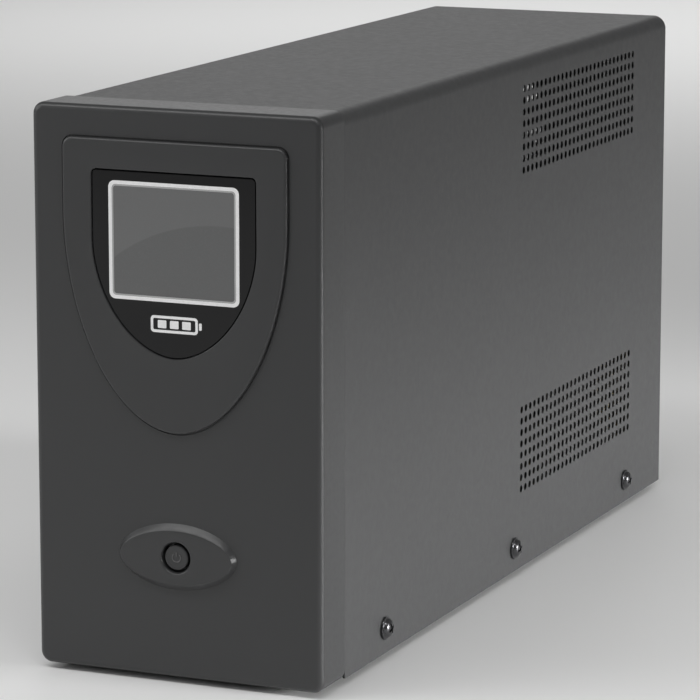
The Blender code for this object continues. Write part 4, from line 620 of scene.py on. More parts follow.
def make_paints():
    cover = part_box("cover")[1]
    rows = (
        (powder_coat, "case_paint"),
        (powder_coat, "cover_paint", (cover.x, cover.z)),
        (moulded_plastic, "bezel_plastic", (0.036, 0.0365, 0.0375), 0.35, 0.00002),
        (smoked_acrylic, "window_acrylic"),
        (display_glass, "lcd_glass", (0.0, BEZEL_BOTTOM + PRINT_RISE)),
        (silver_print, "silver_print", 0.92),
        # Painted shade: this grey tone stands for the display frame's inner bevel.
        (silver_print, "grey_print", 0.42),
        # Painted highlight: a tone lighter than the bezel for the button's moulded symbol.
        (silver_print, "sign_print", 0.14),
        (moulded_plastic, "black_plastic", (0.018, 0.018, 0.019), 0.4),
        (moulded_plastic, "white_plastic", (0.62, 0.62, 0.58), 0.45),
        (circuit_board, "circuit_board"),
        (plated_steel, "zinc_steel", (0.60, 0.61, 0.63), 0.32, (0.42, 0.43, 0.46)),
        (plated_steel, "screw_steel", (0.13, 0.13, 0.135), 0.24, (0.06, 0.06, 0.065)),
        (rubber, "rubber"),
        (moulded_plastic, "battery_plastic", (0.030, 0.031, 0.034), 0.5),
        (plated_steel, "tinned_brass", (0.66, 0.63, 0.56), 0.28, (0.50, 0.42, 0.26)),
        (laminations, "core_steel"),
        (wound_tape, "winding_tape"),
        (plated_steel, "aluminium", (0.68, 0.69, 0.70), 0.36, (0.55, 0.56, 0.57), (1.0, 0.04, 1.0)),
        (pvc, "red_pvc", (0.45, 0.015, 0.012)),
        (pvc, "black_pvc", (0.012, 0.012, 0.013)),
        (pvc, "grey_pvc", (0.22, 0.22, 0.23)),
        (pvc, "capacitor_sleeve", (0.014, 0.018, 0.085)),
        (plated_steel, "gold", (0.83, 0.60, 0.22), 0.25, (0.70, 0.46, 0.15)),
    )
    return {name: maker(name, *values) for maker, name, *values in rows}


# Cover
def sheet_lengths(half, top, bottom):
    """Lengths along the sheet's section: one flank, one bend and the roof."""
    return top - COVER_CORNER - bottom, math.pi / 2 * COVER_CORNER, 2 * (half - COVER_CORNER)


def sheet_point(along, depth, half, top, bottom):
    """A point of the folded sheet's section: along it from the right foot, and depth in from its outside."""
    flank, bend, roof = sheet_lengths(half, top, bottom)
    if along > flank + bend + roof / 2:
        x, z = sheet_point(2 * (flank + bend) + roof - along, depth, half, top, bottom)
        return -x, z
    if along <= flank:
        return half - depth, bottom + along
    if along <= flank + bend:
        turn = (along - flank) / COVER_CORNER
        reach = COVER_CORNER - depth
        return half - COVER_CORNER + reach * math.cos(turn), top - COVER_CORNER + reach * math.sin(turn)
    return half - COVER_CORNER - (along - flank - bend), top - depth


def cell_edges(first):
    """Edges of the vent cells whose first hole is centred at first."""
    return [first - VENT_ROW_PITCH / 2 + VENT_ROW_PITCH * i for i in range(VENT_ROWS + 1)]


def cover_grid(half, top, bottom, front, rear):
    """Lines along the section and along the length, and the section's vented strips."""
    flank, bend, roof = sheet_lengths(half, top, bottom)
    lower = cell_edges(LOWER_VENT_RISE)
    upper = cell_edges(top - bottom - UPPER_VENT_DROP - VENT_ROW_PITCH * (VENT_ROWS - 1))
    side = [0.0, *lower, (lower[-1] + upper[0]) / 2, *upper]
    side += [flank + bend * i / BEND_STEPS for i in range(BEND_STEPS + 1)]
    whole = 2 * (flank + bend) + roof
    lines = side + [whole / 2] + [whole - s for s in reversed(side)]
    vented = set()
    for i, (a, b) in enumerate(zip(lines, lines[1:])):
        middle = min((a + b) / 2, whole - (a + b) / 2)
        if lower[0] < middle < lower[-1] or upper[0] < middle < upper[-1]:
            vented.add(i)
    start = front + VENT_START - VENT_PITCH / 2
    columns = [start + VENT_PITCH * i for i in range(VENT_COLUMNS + 1)]
    return lines, [front + SHEET_EDGE, (front + start) / 2, *columns, rear - SHEET_EDGE], vented


def draw_cover(bm):
    low, high, _ = box_of("cover")
    half, top, bottom, front, rear = high.x, high.z, low.z, low.y, high.y
    lines, stations, vented = cover_grid(half, top, bottom, front, rear)

    def vertex(along, y, depth):
        x, z = sheet_point(along, depth, half, top, bottom)
        return bm.verts.new((x, y, z))

    def layer(y, depth):
        return [vertex(along, y, depth) for along in lines]

    outer = [layer(y, 0.0) for y in stations]
    inner = [layer(y, SHEET) for y in stations]
    front_lips = [layer(front, SHEET_EDGE), layer(front, SHEET - SHEET_EDGE)]
    rear_lips = [layer(rear, SHEET_EDGE), layer(rear, SHEET - SHEET_EDGE)]
    for chain in ([outer[0], *front_lips, inner[0]], [outer[-1], *rear_lips, inner[-1]]):
        for a, b in zip(chain, chain[1:]):
            for i in range(len(lines) - 1):
                bm.faces.new((a[i], a[i + 1], b[i + 1], b[i]))
        for end in (0, -1):
            bm.faces.new([strip[end] for strip in chain])
    for k in range(len(stations) - 1):
        for end in (0, -1):
            bm.faces.new((outer[k][end], outer[k + 1][end], inner[k + 1][end], inner[k][end]))
        for i in range(len(lines) - 1):
            cell = [(i, k), (i + 1, k), (i + 1, k + 1), (i, k + 1)]
            corners = [outer[b][a] for a, b in cell], [inner[b][a] for a, b in cell]
            if i in vented and 1 < k < len(stations) - 2:
                middle = ((lines[i] + lines[i + 1]) / 2, (stations[k] + stations[k + 1]) / 2)
                vent_hole(bm, vertex, corners, middle)
            else:
                bm.faces.new(corners[0])
                bm.faces.new(corners[1])


def vent_hole(bm, vertex, corners, middle):
    """One cell of the sheet with a punched round hole: its outer edge is eased, and it widens inwards."""
    rings = []
    half = VENT_HOLE / 2
    for radius, depth in ((half + SHEET_EDGE, 0.0), (half, SHEET_EDGE), (half + PUNCH_BREAK, SHEET)):
        outline = arc(radius, -135, 225, HOLE_SIDES, middle)[:-1]
        rings.append([vertex(along, y, depth) for along, y in outline])
    for a, b in zip(rings, rings[1:]):
        for i in range(HOLE_SIDES):
            j = (i + 1) % HOLE_SIDES
            bm.faces.new((a[i], a[j], b[j], b[i]))
    quarter = HOLE_SIDES // 4
    for ring, four in ((rings[0], corners[0]), (rings[-1], corners[1])):
        for side in range(4):
            rim = [ring[(side * quarter + i) % HOLE_SIDES] for i in range(quarter + 1)]
            bm.faces.new([four[side], four[(side + 1) % 4], *reversed(rim)])


def screw_holes(bm):
    for number in range(1, 7):
        _, _, middle = box_of(f"cover_screw_{number}")
        reach = abs(middle.x) + 10 * MM
        start, end = sorted((math.copysign(30 * MM, middle.x), math.copysign(reach, middle.x)))
        prism(bm, circle(4.6 * MM, 24, (middle.y, middle.z)), start, end, "X")


def make_cover():
    piece("cover_sheet", draw_cover, "case_paint", replaces=["cover"], steps=[cut(screw_holes)],
          paint="cover_paint")


# Bezel
def bezel_outline(inset):
    middle = (0.0, (BEZEL_BOTTOM + BEZEL_TOP) / 2)
    radius = max(BEZEL_CORNER - inset, 0.5 * MM)
    return rounded(2 * BEZEL_HALF - 2 * inset, BEZEL_TOP - BEZEL_BOTTOM - 2 * inset, radius, middle, 10)


def draw_bezel(bm):
    front = eased(bezel_outline, FRONT_Y, BEZEL_FILLET, 8)
    sections(bm, front + lip(bezel_outline, FRONT_Y + BEZEL_DEPTH, BEZEL_REAR_EDGE)[:3])


def draw_plateau(bm):
    front = eased(lambda inset: shield(inset, **PLATEAU), PLATEAU_Y, PLATEAU_EDGE, 4)
    sections(bm, [(shield(0, **PLATEAU), FRONT_Y + 1 * MM), *front[::-1]])


def draw_boss(bm):
    """The raised oval: steep above and below, drawn to nothing at its ends, with a flat face."""
    middle = (0.0, BUTTON_Z)
    steps = [(lens(BOSS_HALF_WIDTH, BOSS_HALF_HEIGHT, middle), FRONT_Y + 1 * MM)]
    shares = ((0.0, 0.0), (0.30, 0.34), (0.62, 0.68), (0.86, 0.90), (0.95, 0.97), (1.04, 1.0))
    for inward, forward in shares:
        wide = BOSS_HALF_WIDTH + (BOSS_FACE_HALF_WIDTH - BOSS_HALF_WIDTH) * inward
        high = BOSS_HALF_HEIGHT + (BOSS_FACE_HALF_HEIGHT - BOSS_HALF_HEIGHT) * inward
        steps.append((lens(wide, high, middle), FRONT_Y - BOSS_HEIGHT * forward))
    sections(bm, steps)


def bezel_posts(bm):
    low, high, _ = box_of("display_board")
    root, end = FRONT_Y + BEZEL_FRONT_WALL / 2, low.y - 0.3 * MM
    for x in (low.x + 3 * MM, high.x - 3 * MM):
        for z in (low.z + 3 * MM, high.z - 3 * MM):
            turned(bm, [(6 * MM, root), (6 * MM, end - 0.4 * MM), (5.2 * MM, end)], 24, (x, z))


def bezel_tabs(bm):
    """Snap tabs that reach through the chassis's front wall."""
    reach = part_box("front_bezel")[1].y
    root = FRONT_Y + BEZEL_FRONT_WALL / 2
    for x in (-30 * MM, 30 * MM):
        for z in (BEZEL_BOTTOM + 16.6 * MM, BEZEL_TOP - 6.4 * MM):
            prism(bm, rounded(12 * MM, 1.4 * MM, 0.3 * MM, (x, z), 2), root, reach)


def bezel_hollow(bm):
    prism(bm, bezel_outline(BEZEL_WALL), FRONT_Y + BEZEL_FRONT_WALL, FRONT_Y + BEZEL_DEPTH + 5 * MM)


def bezel_groove(bm):
    """A fine groove round the plateau's foot."""
    rings = []
    for inset, y in ((GROOVE_WIDTH * -1, FRONT_Y - 0.2 * MM), (GROOVE_WIDTH * -0.7, FRONT_Y + GROOVE_DEPTH),
                     (0.4 * MM, FRONT_Y + GROOVE_DEPTH), (0.4 * MM, FRONT_Y - 0.2 * MM)):
        rings.append((shield(inset, **PLATEAU), y))
    sections(bm, rings, ring_loop=True)


def pry_notches(bm):
    start, end, rise = PRY_NOTCH
    for side in (-1, 1):
        low, high = sorted((side * (BEZEL_HALF - 1.2 * MM), side * (BEZEL_HALF + 1 * MM)))
        slab(bm, (low, FRONT_Y + start, BEZEL_BOTTOM - 1 * MM), (high, FRONT_Y + end, BEZEL_BOTTOM + rise))


def window_pocket(bm):
    rim = lip(lambda inset: shield(inset, **WINDOW), PLATEAU_Y, -WINDOW_RIM)
    opening = shield(WINDOW_LEDGE, **WINDOW)
    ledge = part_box("display_window")[1].y + WINDOW_GAP
    inside = [(shield(0, **WINDOW), ledge), (opening, ledge), (opening, FRONT_Y + BEZEL_FRONT_WALL + 3 * MM)]
    sections(bm, rim[::-1] + inside)


def button_bore(bm):
    rim = BUTTON_RIM
    turned(bm, [
        (BUTTON_BORE + 4 * rim, BOSS_Y - rim), (BUTTON_BORE + 2 * rim, BOSS_Y),
        (BUTTON_BORE + 0.9 * rim, BOSS_Y + 0.35 * rim), (BUTTON_BORE + 0.2 * rim, BOSS_Y + rim),
        (BUTTON_BORE, BOSS_Y + 1.5 * rim), (BUTTON_BORE, FRONT_Y + BEZEL_FRONT_WALL + 3 * MM),
    ], 64, (0.0, BUTTON_Z))


def make_bezel():
    piece("bezel_moulding", draw_bezel, "bezel_plastic", replaces=["front_bezel"], sharp=35, steps=[
        cut(bezel_hollow), cut(bezel_groove), join(draw_plateau), join(draw_boss),
        join(bezel_posts), join(bezel_tabs), cut(window_pocket), cut(button_bore),
        cut(pry_notches),
    ])


# Display
def make_window():
    low, high, _ = box_of("display_window")

    def draw(bm):
        front = eased(lambda inset: shield(WINDOW_GAP + inset, **WINDOW), low.y, 0.3 * MM, 3)
        sections(bm, [*front, (shield(WINDOW_GAP, **WINDOW), high.y)])

    piece("window_pane", draw, "window_acrylic", replaces=["display_window"])
    middle = (0.0, BEZEL_BOTTOM + PRINT_RISE)
    front, back = low.y - PRINT_THICKNESS / 2, low.y + PRINT_THICKNESS / 2

    def inset(distance):
        wide, high = PRINT_SIZE
        return rounded(wide - 2 * distance, high - 2 * distance, PRINT_CORNER - 0.7 * distance, middle)

    def border(bm, outside, inside, forward):
        outer, inner = inset(outside), inset(inside)
        sections(bm, [(outer, forward), (outer, back), (inner, back), (inner, forward)], ring_loop=True)

    thin = PRINT_THICKNESS / 4
    piece("display_frame_print", lambda bm: border(bm, 0, PRINT_LINE, front), "white_plastic",
          paint="silver_print")
    # The grey band inside the printed frame is painted shade standing for an inner bevel.
    piece("display_frame_shade", lambda bm: border(bm, PRINT_LINE + PRINT_GAP, PRINT_REACH, front + thin),
          "white_plastic", paint="grey_print")
    piece("display_view_area", lambda bm: prism(bm, inset(PRINT_REACH + PRINT_GAP), front + thin, back),
          "lcd_glass")
    make_battery_sign(front, back)


def make_battery_sign(front, back):
    """A plain battery pictogram: a rounded case with a pole, and three charge bars."""
    wide, high = BATTERY_SIGN
    line = 0.9 * MM
    z = BEZEL_BOTTOM + BATTERY_SIGN_RISE

    def draw_case(bm):
        outer = rounded(wide, high, 1.2 * MM, (0.0, z))
        inner = rounded(wide - 2 * line, high - 2 * line, 0.5 * MM, (0.0, z))
        sections(bm, [(outer, front), (outer, back), (inner, back), (inner, front)], ring_loop=True)

    piece("battery_sign_case", draw_case, "white_plastic", paint="silver_print")
    bar = (wide - 2 * line) / 4
    blocks = [("pole", wide / 2 + 0.9 * MM, 1.0 * MM, 2.4 * MM)]
    blocks += [(f"bar_{i + 1}", (i - 1) * bar * 1.16, bar * 0.82, high - 3.3 * line) for i in range(3)]
    for name, x, across, tall in blocks:
        outline = rounded(across, tall, 0.3 * MM, (x, z), 3)
        piece(f"battery_sign_{name}", lambda bm, outline=outline: prism(bm, outline, front, back),
              "white_plastic", paint="silver_print")


def make_button():
    low, high, _ = box_of("power_button")
    collar = FRONT_Y + BEZEL_FRONT_WALL + 0.3 * MM
    steps = from_face(low.y, *BUTTON_FACE) + from_face(collar, *BUTTON_COLLAR) + [(4.0 * MM, high.y)]
    piece("button_cap", lambda bm: turned(bm, steps, 56, (0.0, BUTTON_Z)), "bezel_plastic", "power_button",
          ["power_button"])
    y, radius = low.y + 0.11 * MM, 1.5 * MM
    signs = {
        "ring": [(u, y, BUTTON_Z - v) for v, u in arc(radius, 142, -142, 28)],
        "bar": [(0.0, y, BUTTON_Z + rise * MM) for rise in (0.3, 1.0, 1.8)],
    }
    # The moulded symbol is tinted lighter than the cap: a painted highlight in place of its glints.
    for name, path in signs.items():
        piece(f"button_sign_{name}", lambda bm, path=path: tube(bm, path, 0.2 * MM, 8), "bezel_plastic",
              "power_button", sharp=50, paint="sign_print")


# Screws and feet
def phillips(centre, outward, reach):
    """The two tapering arms of a Phillips recess, into a head whose top is at centre."""
    normal = Vector(outward)
    side = Vector((0, 0, 1))
    across = normal.cross(side)
    tilt = math.radians(23)
    first = side * math.cos(tilt) + across * math.sin(tilt)
    second = normal.cross(first)

    def arm(bm, along, thick):
        rings = []
        for wide, half, depth in ((reach, reach * 0.24, -0.3 * MM), (reach * 0.93, reach * 0.2, 0.2 * MM),
                                  (reach * 0.42, reach * 0.13, 1.3 * MM)):
            base = Vector(centre) - normal * depth
            corners = ((1, -1), (1, 1), (-1, 1), (-1, -1))
            rings.append([base + along * a * wide + thick * b * half for a, b in corners])
        loft(bm, rings)

    return [cut(lambda bm: arm(bm, first, second)), cut(lambda bm: arm(bm, second, first))]


def head_profile(width, height):
    """Half section of a pan head with a thin flange, as (diameter, height) from the seat."""
    steps = [(width, 0.0), (width, height * 0.16)]
    steps += [(width * 0.975, height * 0.24), (width * 0.84, height * 0.30)]
    for i in range(8):
        turn = math.radians(12 + 78 * i / 7)
        steps.append((width * (0.03 + 0.79 * math.cos(turn) ** 0.7), height * (0.34 + 0.66 * math.sin(turn))))
    return steps


def make_screw(name, node, axis, width, height, shank, length):
    """A pan-head Phillips screw along an axis, its head towards the outside of the case."""
    low, high, middle = box_of(node)
    out = 1 if axis == "Y" else int(math.copysign(1, middle.x))
    tip, top = (low.y, high.y) if axis == "Y" else (low.x, high.x)[::out]
    seat = top - out * height
    centre = (middle.y, middle.z) if axis == "X" else (middle.x, middle.z)

    def draw(bm):
        steps = [(shank * 0.5, tip), (shank * 0.8, tip + out * length * 0.08)]
        turns = 7
        start, end = tip + out * length * 0.1, seat - out * 0.5 * MM
        for i in range(2 * turns + 1):
            steps.append((shank * (1.0 if i % 2 else 0.8), start + (end - start) * i / (2 * turns)))
        steps.append((shank * 0.85, seat))
        steps += [(diameter, seat + out * at) for diameter, at in head_profile(width, height)]
        turned(bm, steps, 40, centre, axis)

    point = place(axis, *centre, top)
    normal = (out, 0, 0) if axis == "X" else (0, 1, 0)
    piece(name, draw, "screw_steel", replaces=[node], sharp=32, steps=phillips(point, normal, width * 0.27))


def make_screws():
    for number in range(1, 7):
        make_screw(f"side_screw_{number}", f"cover_screw_{number}", "X", 8.0 * MM, 2.4 * MM, 3.8 * MM, 6 * MM)
    for number in range(1, 5):
        make_screw(f"guard_screw_{number}", f"fan_screw_{number}", "Y", 6.6 * MM, 2.0 * MM, 2.8 * MM, 13 * MM)


def make_feet():
    for number in range(1, 5):
        low, high, middle = box_of(f"foot_{number}")
        steps = [(high.x - low.x + over * MM, height * MM) for over, height in FOOT_PAD]
        steps += from_face(0.0, (5.0, 2.9)) + from_face(high.z, *FOOT_STEM)

        def draw(bm, steps=steps, middle=middle):
            turned(bm, steps, 40, (middle.x, middle.y), "Z")

        piece(f"rubber_foot_{number}", draw, "rubber", replaces=[f"foot_{number}"])


# Rear sockets and ports
def blade(bm, size, nose, corner, centre, root, tip, taper):
    """A rectangular pin that narrows to its nose over the last stretch."""
    body = rounded(*size, corner, centre, 3)
    sections(bm, [(body, root), (body, tip - taper), (rounded(*nose, corner, centre, 3), tip)])


def make_socket(node, male):
    """A mains socket: an outlet has a block with three slots in its mouth, an inlet has three pins."""
    low, high, middle = box_of(node)
    centre = (middle.x, middle.z)
    front, floor = high.y, high.y - IEC_DEPTH
    back = front - FLANGE_THICKNESS
    wide, tall = high.x - low.x, high.z - low.z

    def flange(inset):
        return rounded(wide - 2 * inset, tall - 2 * inset, FLANGE_CORNER - inset, centre)

    def draw(bm):
        body = rounded(*SOCKET_BODY, 0.5 * MM, centre)
        rim = eased(flange, front, FLANGE_BEVEL, 3, -1)[::-1]
        sections(bm, [(body, low.y), (body, back), (flange(0), back), *rim])

    def mouth(bm):
        wall = lip(lambda grow: connector(IEC_MOUTH, grow, centre), front, IEC_EDGE)
        wall.insert(0, (wall[0][0], floor))
        if male:
            sections(bm, wall)
            return
        block = lip(lambda grow: connector(IEC_BLOCK, -grow, centre), front, IEC_EDGE)[::-1]
        sections(bm, [*wall, *block, (block[-1][0], floor)], ring_loop=True)

    def slots(bm):
        for x, z in IEC_PLACES:
            spot = (centre[0] + x, centre[1] + z)
            edge = IEC_EDGE
            steps = [(0.0, floor + 1 * MM), (0.0, front - edge), (edge, front), (2 * edge, front + edge)]
            wide, tall = IEC_SLOT
            sections(bm, [(rounded(wide + grow, tall + grow, 0.3 * MM, spot, 2), y) for grow, y in steps])

    steps = [cut(mouth)] + ([] if male else [cut(slots)])
    piece(f"{node}_housing", draw, "black_plastic", replaces=[node], steps=steps)

    def pins(bm):
        for x, z in IEC_PLACES:
            spot = (centre[0] + x, centre[1] + z)
            nose = (IEC_PIN[0] * 0.5, IEC_PIN[1] * 0.8)
            blade(bm, IEC_PIN, nose, 0.3 * MM, spot, floor - 0.5 * MM, front - IEC_PIN_SETBACK, 1.2 * MM)

    def contacts(bm):
        """A pair of sprung leaves in each slot."""
        for x, z in IEC_PLACES:
            for side in (-1, 1):
                leaf = [(side * 1.1 * MM, floor + 1.2 * MM), (side * 0.5 * MM, front - 4.6 * MM),
                        (side * 1.05 * MM, front - 3.0 * MM)]
                half, thick = IEC_SLOT[1] * 0.42, 0.15 * MM
                loft(bm, [[(centre[0] + x + u + a * thick, y, centre[1] + z + b * half)
                           for a, b in ((-1, -1), (1, -1), (1, 1), (-1, 1))] for u, y in leaf])

    piece(f"{node}_contacts", pins if male else contacts, "tinned_brass")


def make_breaker():
    low, high, middle = box_of("breaker_body")
    x, z = middle.x, middle.z
    panel = high.y - BREAKER_BUSH_PROUD
    nut = panel + PANEL_GAP + BREAKER_NUT_THICKNESS

    def bush(bm):
        steps = [(BREAKER_BUSH * 0.9, panel - 3 * MM), (BREAKER_BUSH * 0.9, nut)]
        turns = 4
        rise = high.y - 0.4 * MM - nut
        for i in range(2 * turns + 1):
            steps.append((BREAKER_BUSH * (1.0 if i % 2 else 0.93), nut + rise * i / (2 * turns)))
        steps.append((BREAKER_BUSH * 0.86, high.y))
        turned(bm, steps, 48, (x, z))

    def hexagon(bm):
        start, edge = panel + PANEL_GAP, 0.35 * MM
        outline, trimmed = circle(BREAKER_NUT, 6, (x, z)), circle(BREAKER_NUT - 2 * edge, 6, (x, z))
        sections(bm, [(outline, start), (outline, nut - edge), (trimmed, nut)])

    def box(bm):
        prism(bm, rounded(high.x - low.x, high.z - low.z, 1 * MM, (x, z)), low.y, panel - 1.3 * MM)

    def bore(bm):
        mouth = from_face(high.y, (BREAKER_BORE, -0.5), (BREAKER_BORE + 1.2, 0.1))
        turned(bm, from_face(panel, (BREAKER_BORE, -10.0)) + mouth, 40, (x, z))

    piece("breaker_housing", bush, "black_plastic", replaces=["breaker_body"],
          steps=[join(hexagon), join(box), cut(bore)])
    start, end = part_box("breaker_button")
    steps = [(BREAKER_CAP[0][0] * MM, start.y), *from_face(end.y, *BREAKER_CAP)]
    piece("reset_button", lambda bm: turned(bm, steps, 40, (x, z)), "white_plastic", "breaker_button",
          ["breaker_button"])


def make_ports():
    low, high, middle = box_of("data_ports")
    front, floor = high.y, high.y - PORT_DEPTH
    edge = 0.4 * MM

    def block(low, high, corner):
        wide, tall = high.x - low.x, high.z - low.z
        centre = ((low.x + high.x) / 2, (low.z + high.z) / 2)
        steps = ((0, low.y), (0, high.y - edge), (edge / 4, high.y - edge * 0.3), (edge, high.y))
        return [(rounded(wide - 2 * inset, tall - 2 * inset, corner, centre), y) for inset, y in steps]

    def key(grow, z):
        u, v = PORT_MOUTH[0] / 2 + grow, PORT_MOUTH[1] / 2 + grow
        key_u, top = PORT_LATCH[0] / 2 + grow, PORT_MOUTH[1] / 2 + PORT_LATCH[1] + grow
        right = [(u, -v), (u, v), (key_u, v), (key_u, top)]
        return [(middle.x + a, z + b) for a, b in right + [(-a, b) for a, b in reversed(right)]]

    mouths = [middle.z + side * PORT_PITCH / 2 - PORT_LATCH[1] / 2 for side in (-1, 1)]

    def mouth(z):
        steps = [(0.0, floor), (0.0, front - edge), (edge, front), (2 * edge, front + edge)]
        return lambda bm: sections(bm, [(key(grow, z), y) for grow, y in steps])

    piece("port_block", lambda bm: sections(bm, block(low, high, 0.6 * MM)), "black_plastic",
          replaces=["data_ports"], steps=[cut(mouth(z)) for z in mouths])

    def wires(bm):
        """Eight sprung wires in each mouth, rising from its floor."""
        for z in mouths:
            bottom = z - PORT_MOUTH[1] / 2
            for i in range(8):
                x = middle.x + (i - 3.5) * 1.02 * MM
                tube(bm, [(x, front - 2.0 * MM, bottom + 0.3 * MM), (x, front - 3.0 * MM, bottom + 0.5 * MM),
                          (x, front - 7.5 * MM, bottom + 3.2 * MM)], 0.22 * MM, 6)

    piece("port_contacts", wires, "tinned_brass", paint="gold")
    low, high, middle = box_of("usb_port")
    centre = (middle.x, middle.z)
    end = high.y - USB_DEPTH

    def usb_mouth(bm):
        outline = six_sided(USB_MOUTH[0] / 2, USB_MOUTH[1] / 2, 1.6 * MM, centre, 0.4 * MM)
        prism(bm, outline, end, high.y + 1 * MM)

    piece("usb_shell", lambda bm: sections(bm, block(low, high, 0.8 * MM)), "zinc_steel",
          replaces=["usb_port"], steps=[cut(usb_mouth)])
    tip = high.y - 1.0 * MM

    def tongue(bm):
        wide, tall = USB_MOUTH[0] - 0.1 * MM, USB_MOUTH[1] - 0.1 * MM
        prism(bm, rounded(wide, tall, 1.7 * MM, centre), end, end + 0.6 * MM)
        nose = (USB_TONGUE[0] - 0.4 * MM, USB_TONGUE[1] - 0.6 * MM)
        blade(bm, USB_TONGUE, nose, 0.2 * MM, centre, end + 0.3 * MM, tip, 0.5 * MM)

    def usb_wires(bm):
        for side in (-1, 1):
            for column in (-1, 1):
                x, z = centre[0] + column * 1.25 * MM, centre[1] + side * USB_TONGUE[1] / 2
                half, thick = 0.35 * MM, 0.08 * MM
                slab(bm, (x - half, end + 1 * MM, z - thick), (x + half, tip - 1 * MM, z + thick))

    piece("usb_tongue", tongue, "white_plastic")
    piece("usb_contacts", usb_wires, "tinned_brass", paint="gold")


# Fan
def make_fan():
    low, high, middle = box_of("fan_frame")
    x, z, rear = middle.x, middle.z, high.y
    size = high.x - low.x

    def frame_body(bm):
        prism(bm, rounded(size, size, 3 * MM, (x, z)), low.y, rear)

    def through(diameter, segments, spot):
        steps = [(diameter, low.y - 1 * MM), (diameter, rear + 1 * MM)]
        return cut(lambda bm: turned(bm, steps, segments, spot))

    def strut(wide, tall, back):
        outline = rounded(wide, tall, 0.6 * MM, (x, z), 2)
        return join(lambda bm: prism(bm, outline, rear - FAN_PLATE_THICKNESS, back))

    def disc(profile, segments):
        return lambda bm: turned(bm, from_face(rear, *profile), segments, (x, z))

    across, half = FAN_BORE + 1.4 * MM, FAN_HOLE_SPACING / 2
    steps = [through(FAN_BORE, 96, (x, z))]
    steps += [through(4.4 * MM, 24, (x + a * half, z + b * half)) for a in (-1, 1) for b in (-1, 1)]
    steps += [strut(across, FAN_STRUT, rear - 0.4 * MM), strut(FAN_STRUT, across, rear - 0.5 * MM)]
    steps += [join(disc(FAN_PLATE, 64)), cut(disc(FAN_BEARING, 24))]
    piece("fan_housing", frame_body, "black_plastic", replaces=["fan_frame"], steps=steps)
    make_rotor(x, z, rear)
    make_guard(x, z)


def make_rotor(x, z, rear):
    back = rear - FAN_PLATE_THICKNESS - 1 * MM
    front = back - FAN_HUB_DEPTH
    wall = 1.5 * MM
    floor = front + 2 * MM
    root, tip = FAN_HUB / 2 - wall / 2, FAN_BORE / 2 - FAN_TIP_CLEARANCE

    def hub(bm):
        cup = [(FAN_HUB, back), (FAN_HUB - 2 * wall, back), (FAN_HUB - 2 * wall, floor)]
        shaft = [(3 * MM, floor), (3 * MM, rear - FAN_PLATE_THICKNESS + 0.3 * MM)]
        turned(bm, from_face(front, *HUB_NOSE) + cup + shaft, 64, (x, z))

    def blade(number):
        def draw(bm):
            rings = []
            for i in range(9):
                share = i / 8
                radius = root + (tip - root) * share
                pitch = math.radians(52 - 20 * share)
                chord = (11 + 7 * share) * MM
                turn = 2 * math.pi * number / FAN_BLADES + 0.18 * share
                rings.append(blade_section(radius, turn, pitch, chord))
            loft(bm, rings)
        return draw

    def blade_section(radius, turn, pitch, chord):
        points = []
        for side in (-1, 1):
            for step in range(9):
                along = (step / 8 - 0.5) * -side
                thick = FAN_BLADE_THICKNESS / 2 * (1 - 0.8 * abs(2 * along) ** 4)
                height = 0.10 * chord * (1 - 4 * along * along) + side * thick
                across = chord * along * math.cos(pitch) + height * math.sin(pitch)
                depth = chord * along * math.sin(pitch) - height * math.cos(pitch)
                angle = turn + across / radius
                u, v = x + radius * math.cos(angle), z + radius * math.sin(angle)
                points.append((u, (front + back) / 2 + depth, v))
        return points

    steps = [join(blade(number)) for number in range(FAN_BLADES)]
    piece("fan_impeller", hub, "black_plastic", "fan_rotor", ["fan_rotor"], steps=steps)


def make_guard(x, z):
    """Plated wire guard: rings on four diagonal arms that end in screw eyes."""
    low, high, _ = box_of("fan_guard")
    radius = GUARD_WIRE / 2
    arm_y, ring_y = low.y + radius, high.y - radius
    half = FAN_HOLE_SPACING / 2
    arm_ends = (GUARD_RINGS[0] - GUARD_WIRE, math.hypot(half, half) - GUARD_EYE + 0.3 * MM)
    reaches = [reach * math.sqrt(0.5) for reach in arm_ends]

    def loop(spot, size, y, count):
        return [(u, y, v) for u, v in circle(2 * size, count, spot)]

    def draw(bm):
        for size in GUARD_RINGS:
            tube(bm, loop((x, z), size, ring_y, 96), radius, 12, closed=True)
        for a in (-1, 1):
            for b in (-1, 1):
                eye = loop((x + a * half, z + b * half), GUARD_EYE, arm_y, 32)
                tube(bm, eye, radius * 0.96, 10, closed=True)
                tube(bm, [(x + a * reach, arm_y, z + b * reach) for reach in reaches], radius, 12)

    piece("guard_wires", draw, "zinc_steel", replaces=["fan_guard"], sharp=50)


def make_rear():
    for number in range(1, 5):
        make_socket(f"outlet_{number}", male=False)
    make_socket("ac_inlet", male=True)
    make_breaker()
    make_ports()
    make_fan()


# Carried-over nodes
def paint_nodes():
    """Every CAD node that is shown as it is takes its slot's material."""
    slots = {entry["node"]: entry["material_slot"] for entry in frame["record"]["subparts"]}
    for name, node in frame["nodes"].items():
        node.data.materials.clear()
        node.data.materials.append(PAINTS[slots[name]])


# Stage
def area_light(name, place_at, target, size, power, spread=180):
    data = bpy.data.lights.new(name, "AREA")
    data.shape = "RECTANGLE"
    data.size, data.size_y = size
    data.energy = power
    data.spread = math.radians(spread)
    made = new_object(name, data)
    made.location = place_at
    made.rotation_euler = (Vector(target) - Vector(place_at)).to_track_quat("-Z", "Y").to_euler()


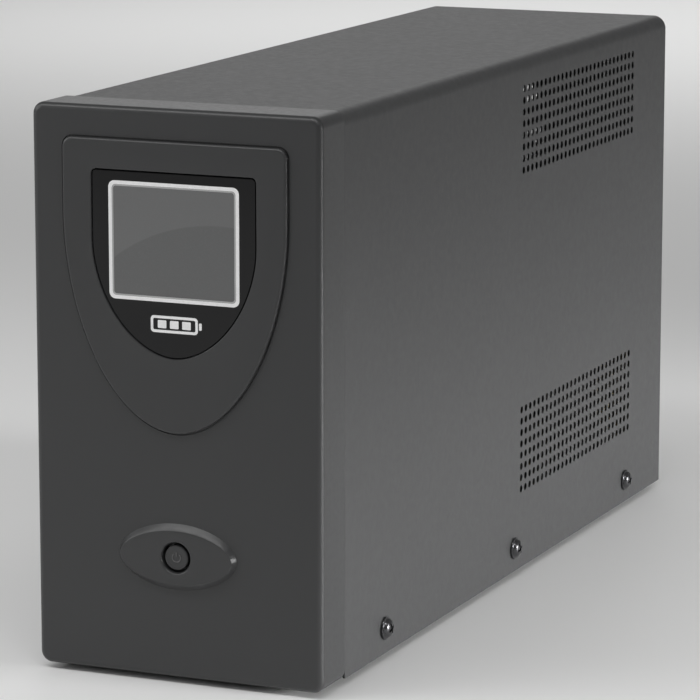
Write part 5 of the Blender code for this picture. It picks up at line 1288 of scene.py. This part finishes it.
def make_stage():
    floor_paint = Paint("floor_paint", (0.88, 0.88, 0.875), 0.6)
    floor_paint.tint(floor_paint.ranged(floor_paint.noise(3.0, 2.0), 0.3, 0.8, 0.0, 0.2), (0.84, 0.84, 0.84))
    bm = bmesh.new()
    slab(bm, (-6, -6, -0.02), (6, 6, 0.0))
    floor = new_object("floor", mesh_of(bm, "floor"))
    floor.data.materials.append(floor_paint.material)
    world = bpy.data.worlds.new("studio")
    world.use_nodes = True
    sky = world.node_tree.nodes["Background"]
    sky.inputs["Color"].default_value = (0.80, 0.80, 0.80, 1)
    sky.inputs["Strength"].default_value = 0.30
    bpy.context.scene.world = world
    area_light("overhead", (-0.35, -0.65, 1.17), (-0.35, -0.15, 0.1), (1.7, 0.22), 7.6)
    area_light("lens_edge", (0.68, -0.66, 1.05), (0, -0.17, 0.08), (0.5, 0.5), 0.5)
    area_light("left_edge", (-1.6, -0.5, 0.85), (0, -0.17, 0.05), (0.6, 0.6), 3.2)
    area_light("front_fill", (-0.9, -0.9, 0.45), (0, -0.17, 0.1), (0.4, 0.4), 1.6)
    area_light("side_key", (1.0, 0.1, 0.14), (0.05, 0.03, -0.01), (0.8, 0.12), 0.82, 26)
    area_light("rear_fill", (-0.7, 1.8, 0.9), (0, 0.1, 0.1), (1.0, 1.0), 2.0)
    area_light("backdrop", (0.2, 2.1, 1.6), (0.2, 2.1, 0), (3.2, 1.6), 9, 60)


def make_camera():
    """A long lens, 23 degrees round from the front and 11 degrees above the horizon."""
    azimuth, elevation, distance = math.radians(23.2), math.radians(10.9), 1.420
    target = Vector((-0.0117, FRONT_Y + 0.1715, BEZEL_BOTTOM + 0.0797))
    back = Vector((
        math.sin(azimuth) * math.cos(elevation), -math.cos(azimuth) * math.cos(elevation), math.sin(elevation)
    ))
    data = bpy.data.cameras.new("camera")
    data.sensor_width = 36.0
    data.lens = 197.7
    data.clip_start = 0.05
    data.clip_end = 20.0
    camera = new_object("camera", data)
    camera.location = target + back * distance
    camera.rotation_euler = back.to_track_quat("Z", "Y").to_euler()
    bpy.context.scene.camera = camera


# The whole
BEZEL_LOW, BEZEL_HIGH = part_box("front_bezel")
BEZEL_BOTTOM, BEZEL_TOP, BEZEL_HALF = BEZEL_LOW.z, BEZEL_HIGH.z, BEZEL_HIGH.x
BOSS_Y = BEZEL_LOW.y
FRONT_Y = BOSS_Y + BOSS_HEIGHT
PLATEAU_Y = FRONT_Y - PLATEAU_HEIGHT
BUTTON_Z = sum(corner.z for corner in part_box("power_button")) / 2
PAINTS = make_paints()

for scene_object in [o for o in bpy.data.objects if o.type in ("LIGHT", "CAMERA")]:
    bpy.data.objects.remove(scene_object)
bpy.context.scene.view_settings.view_transform = "Standard"
make_camera()
make_stage()
paint_nodes()
make_cover()
make_bezel()
make_window()
make_button()
make_screws()
make_feet()
make_rear()
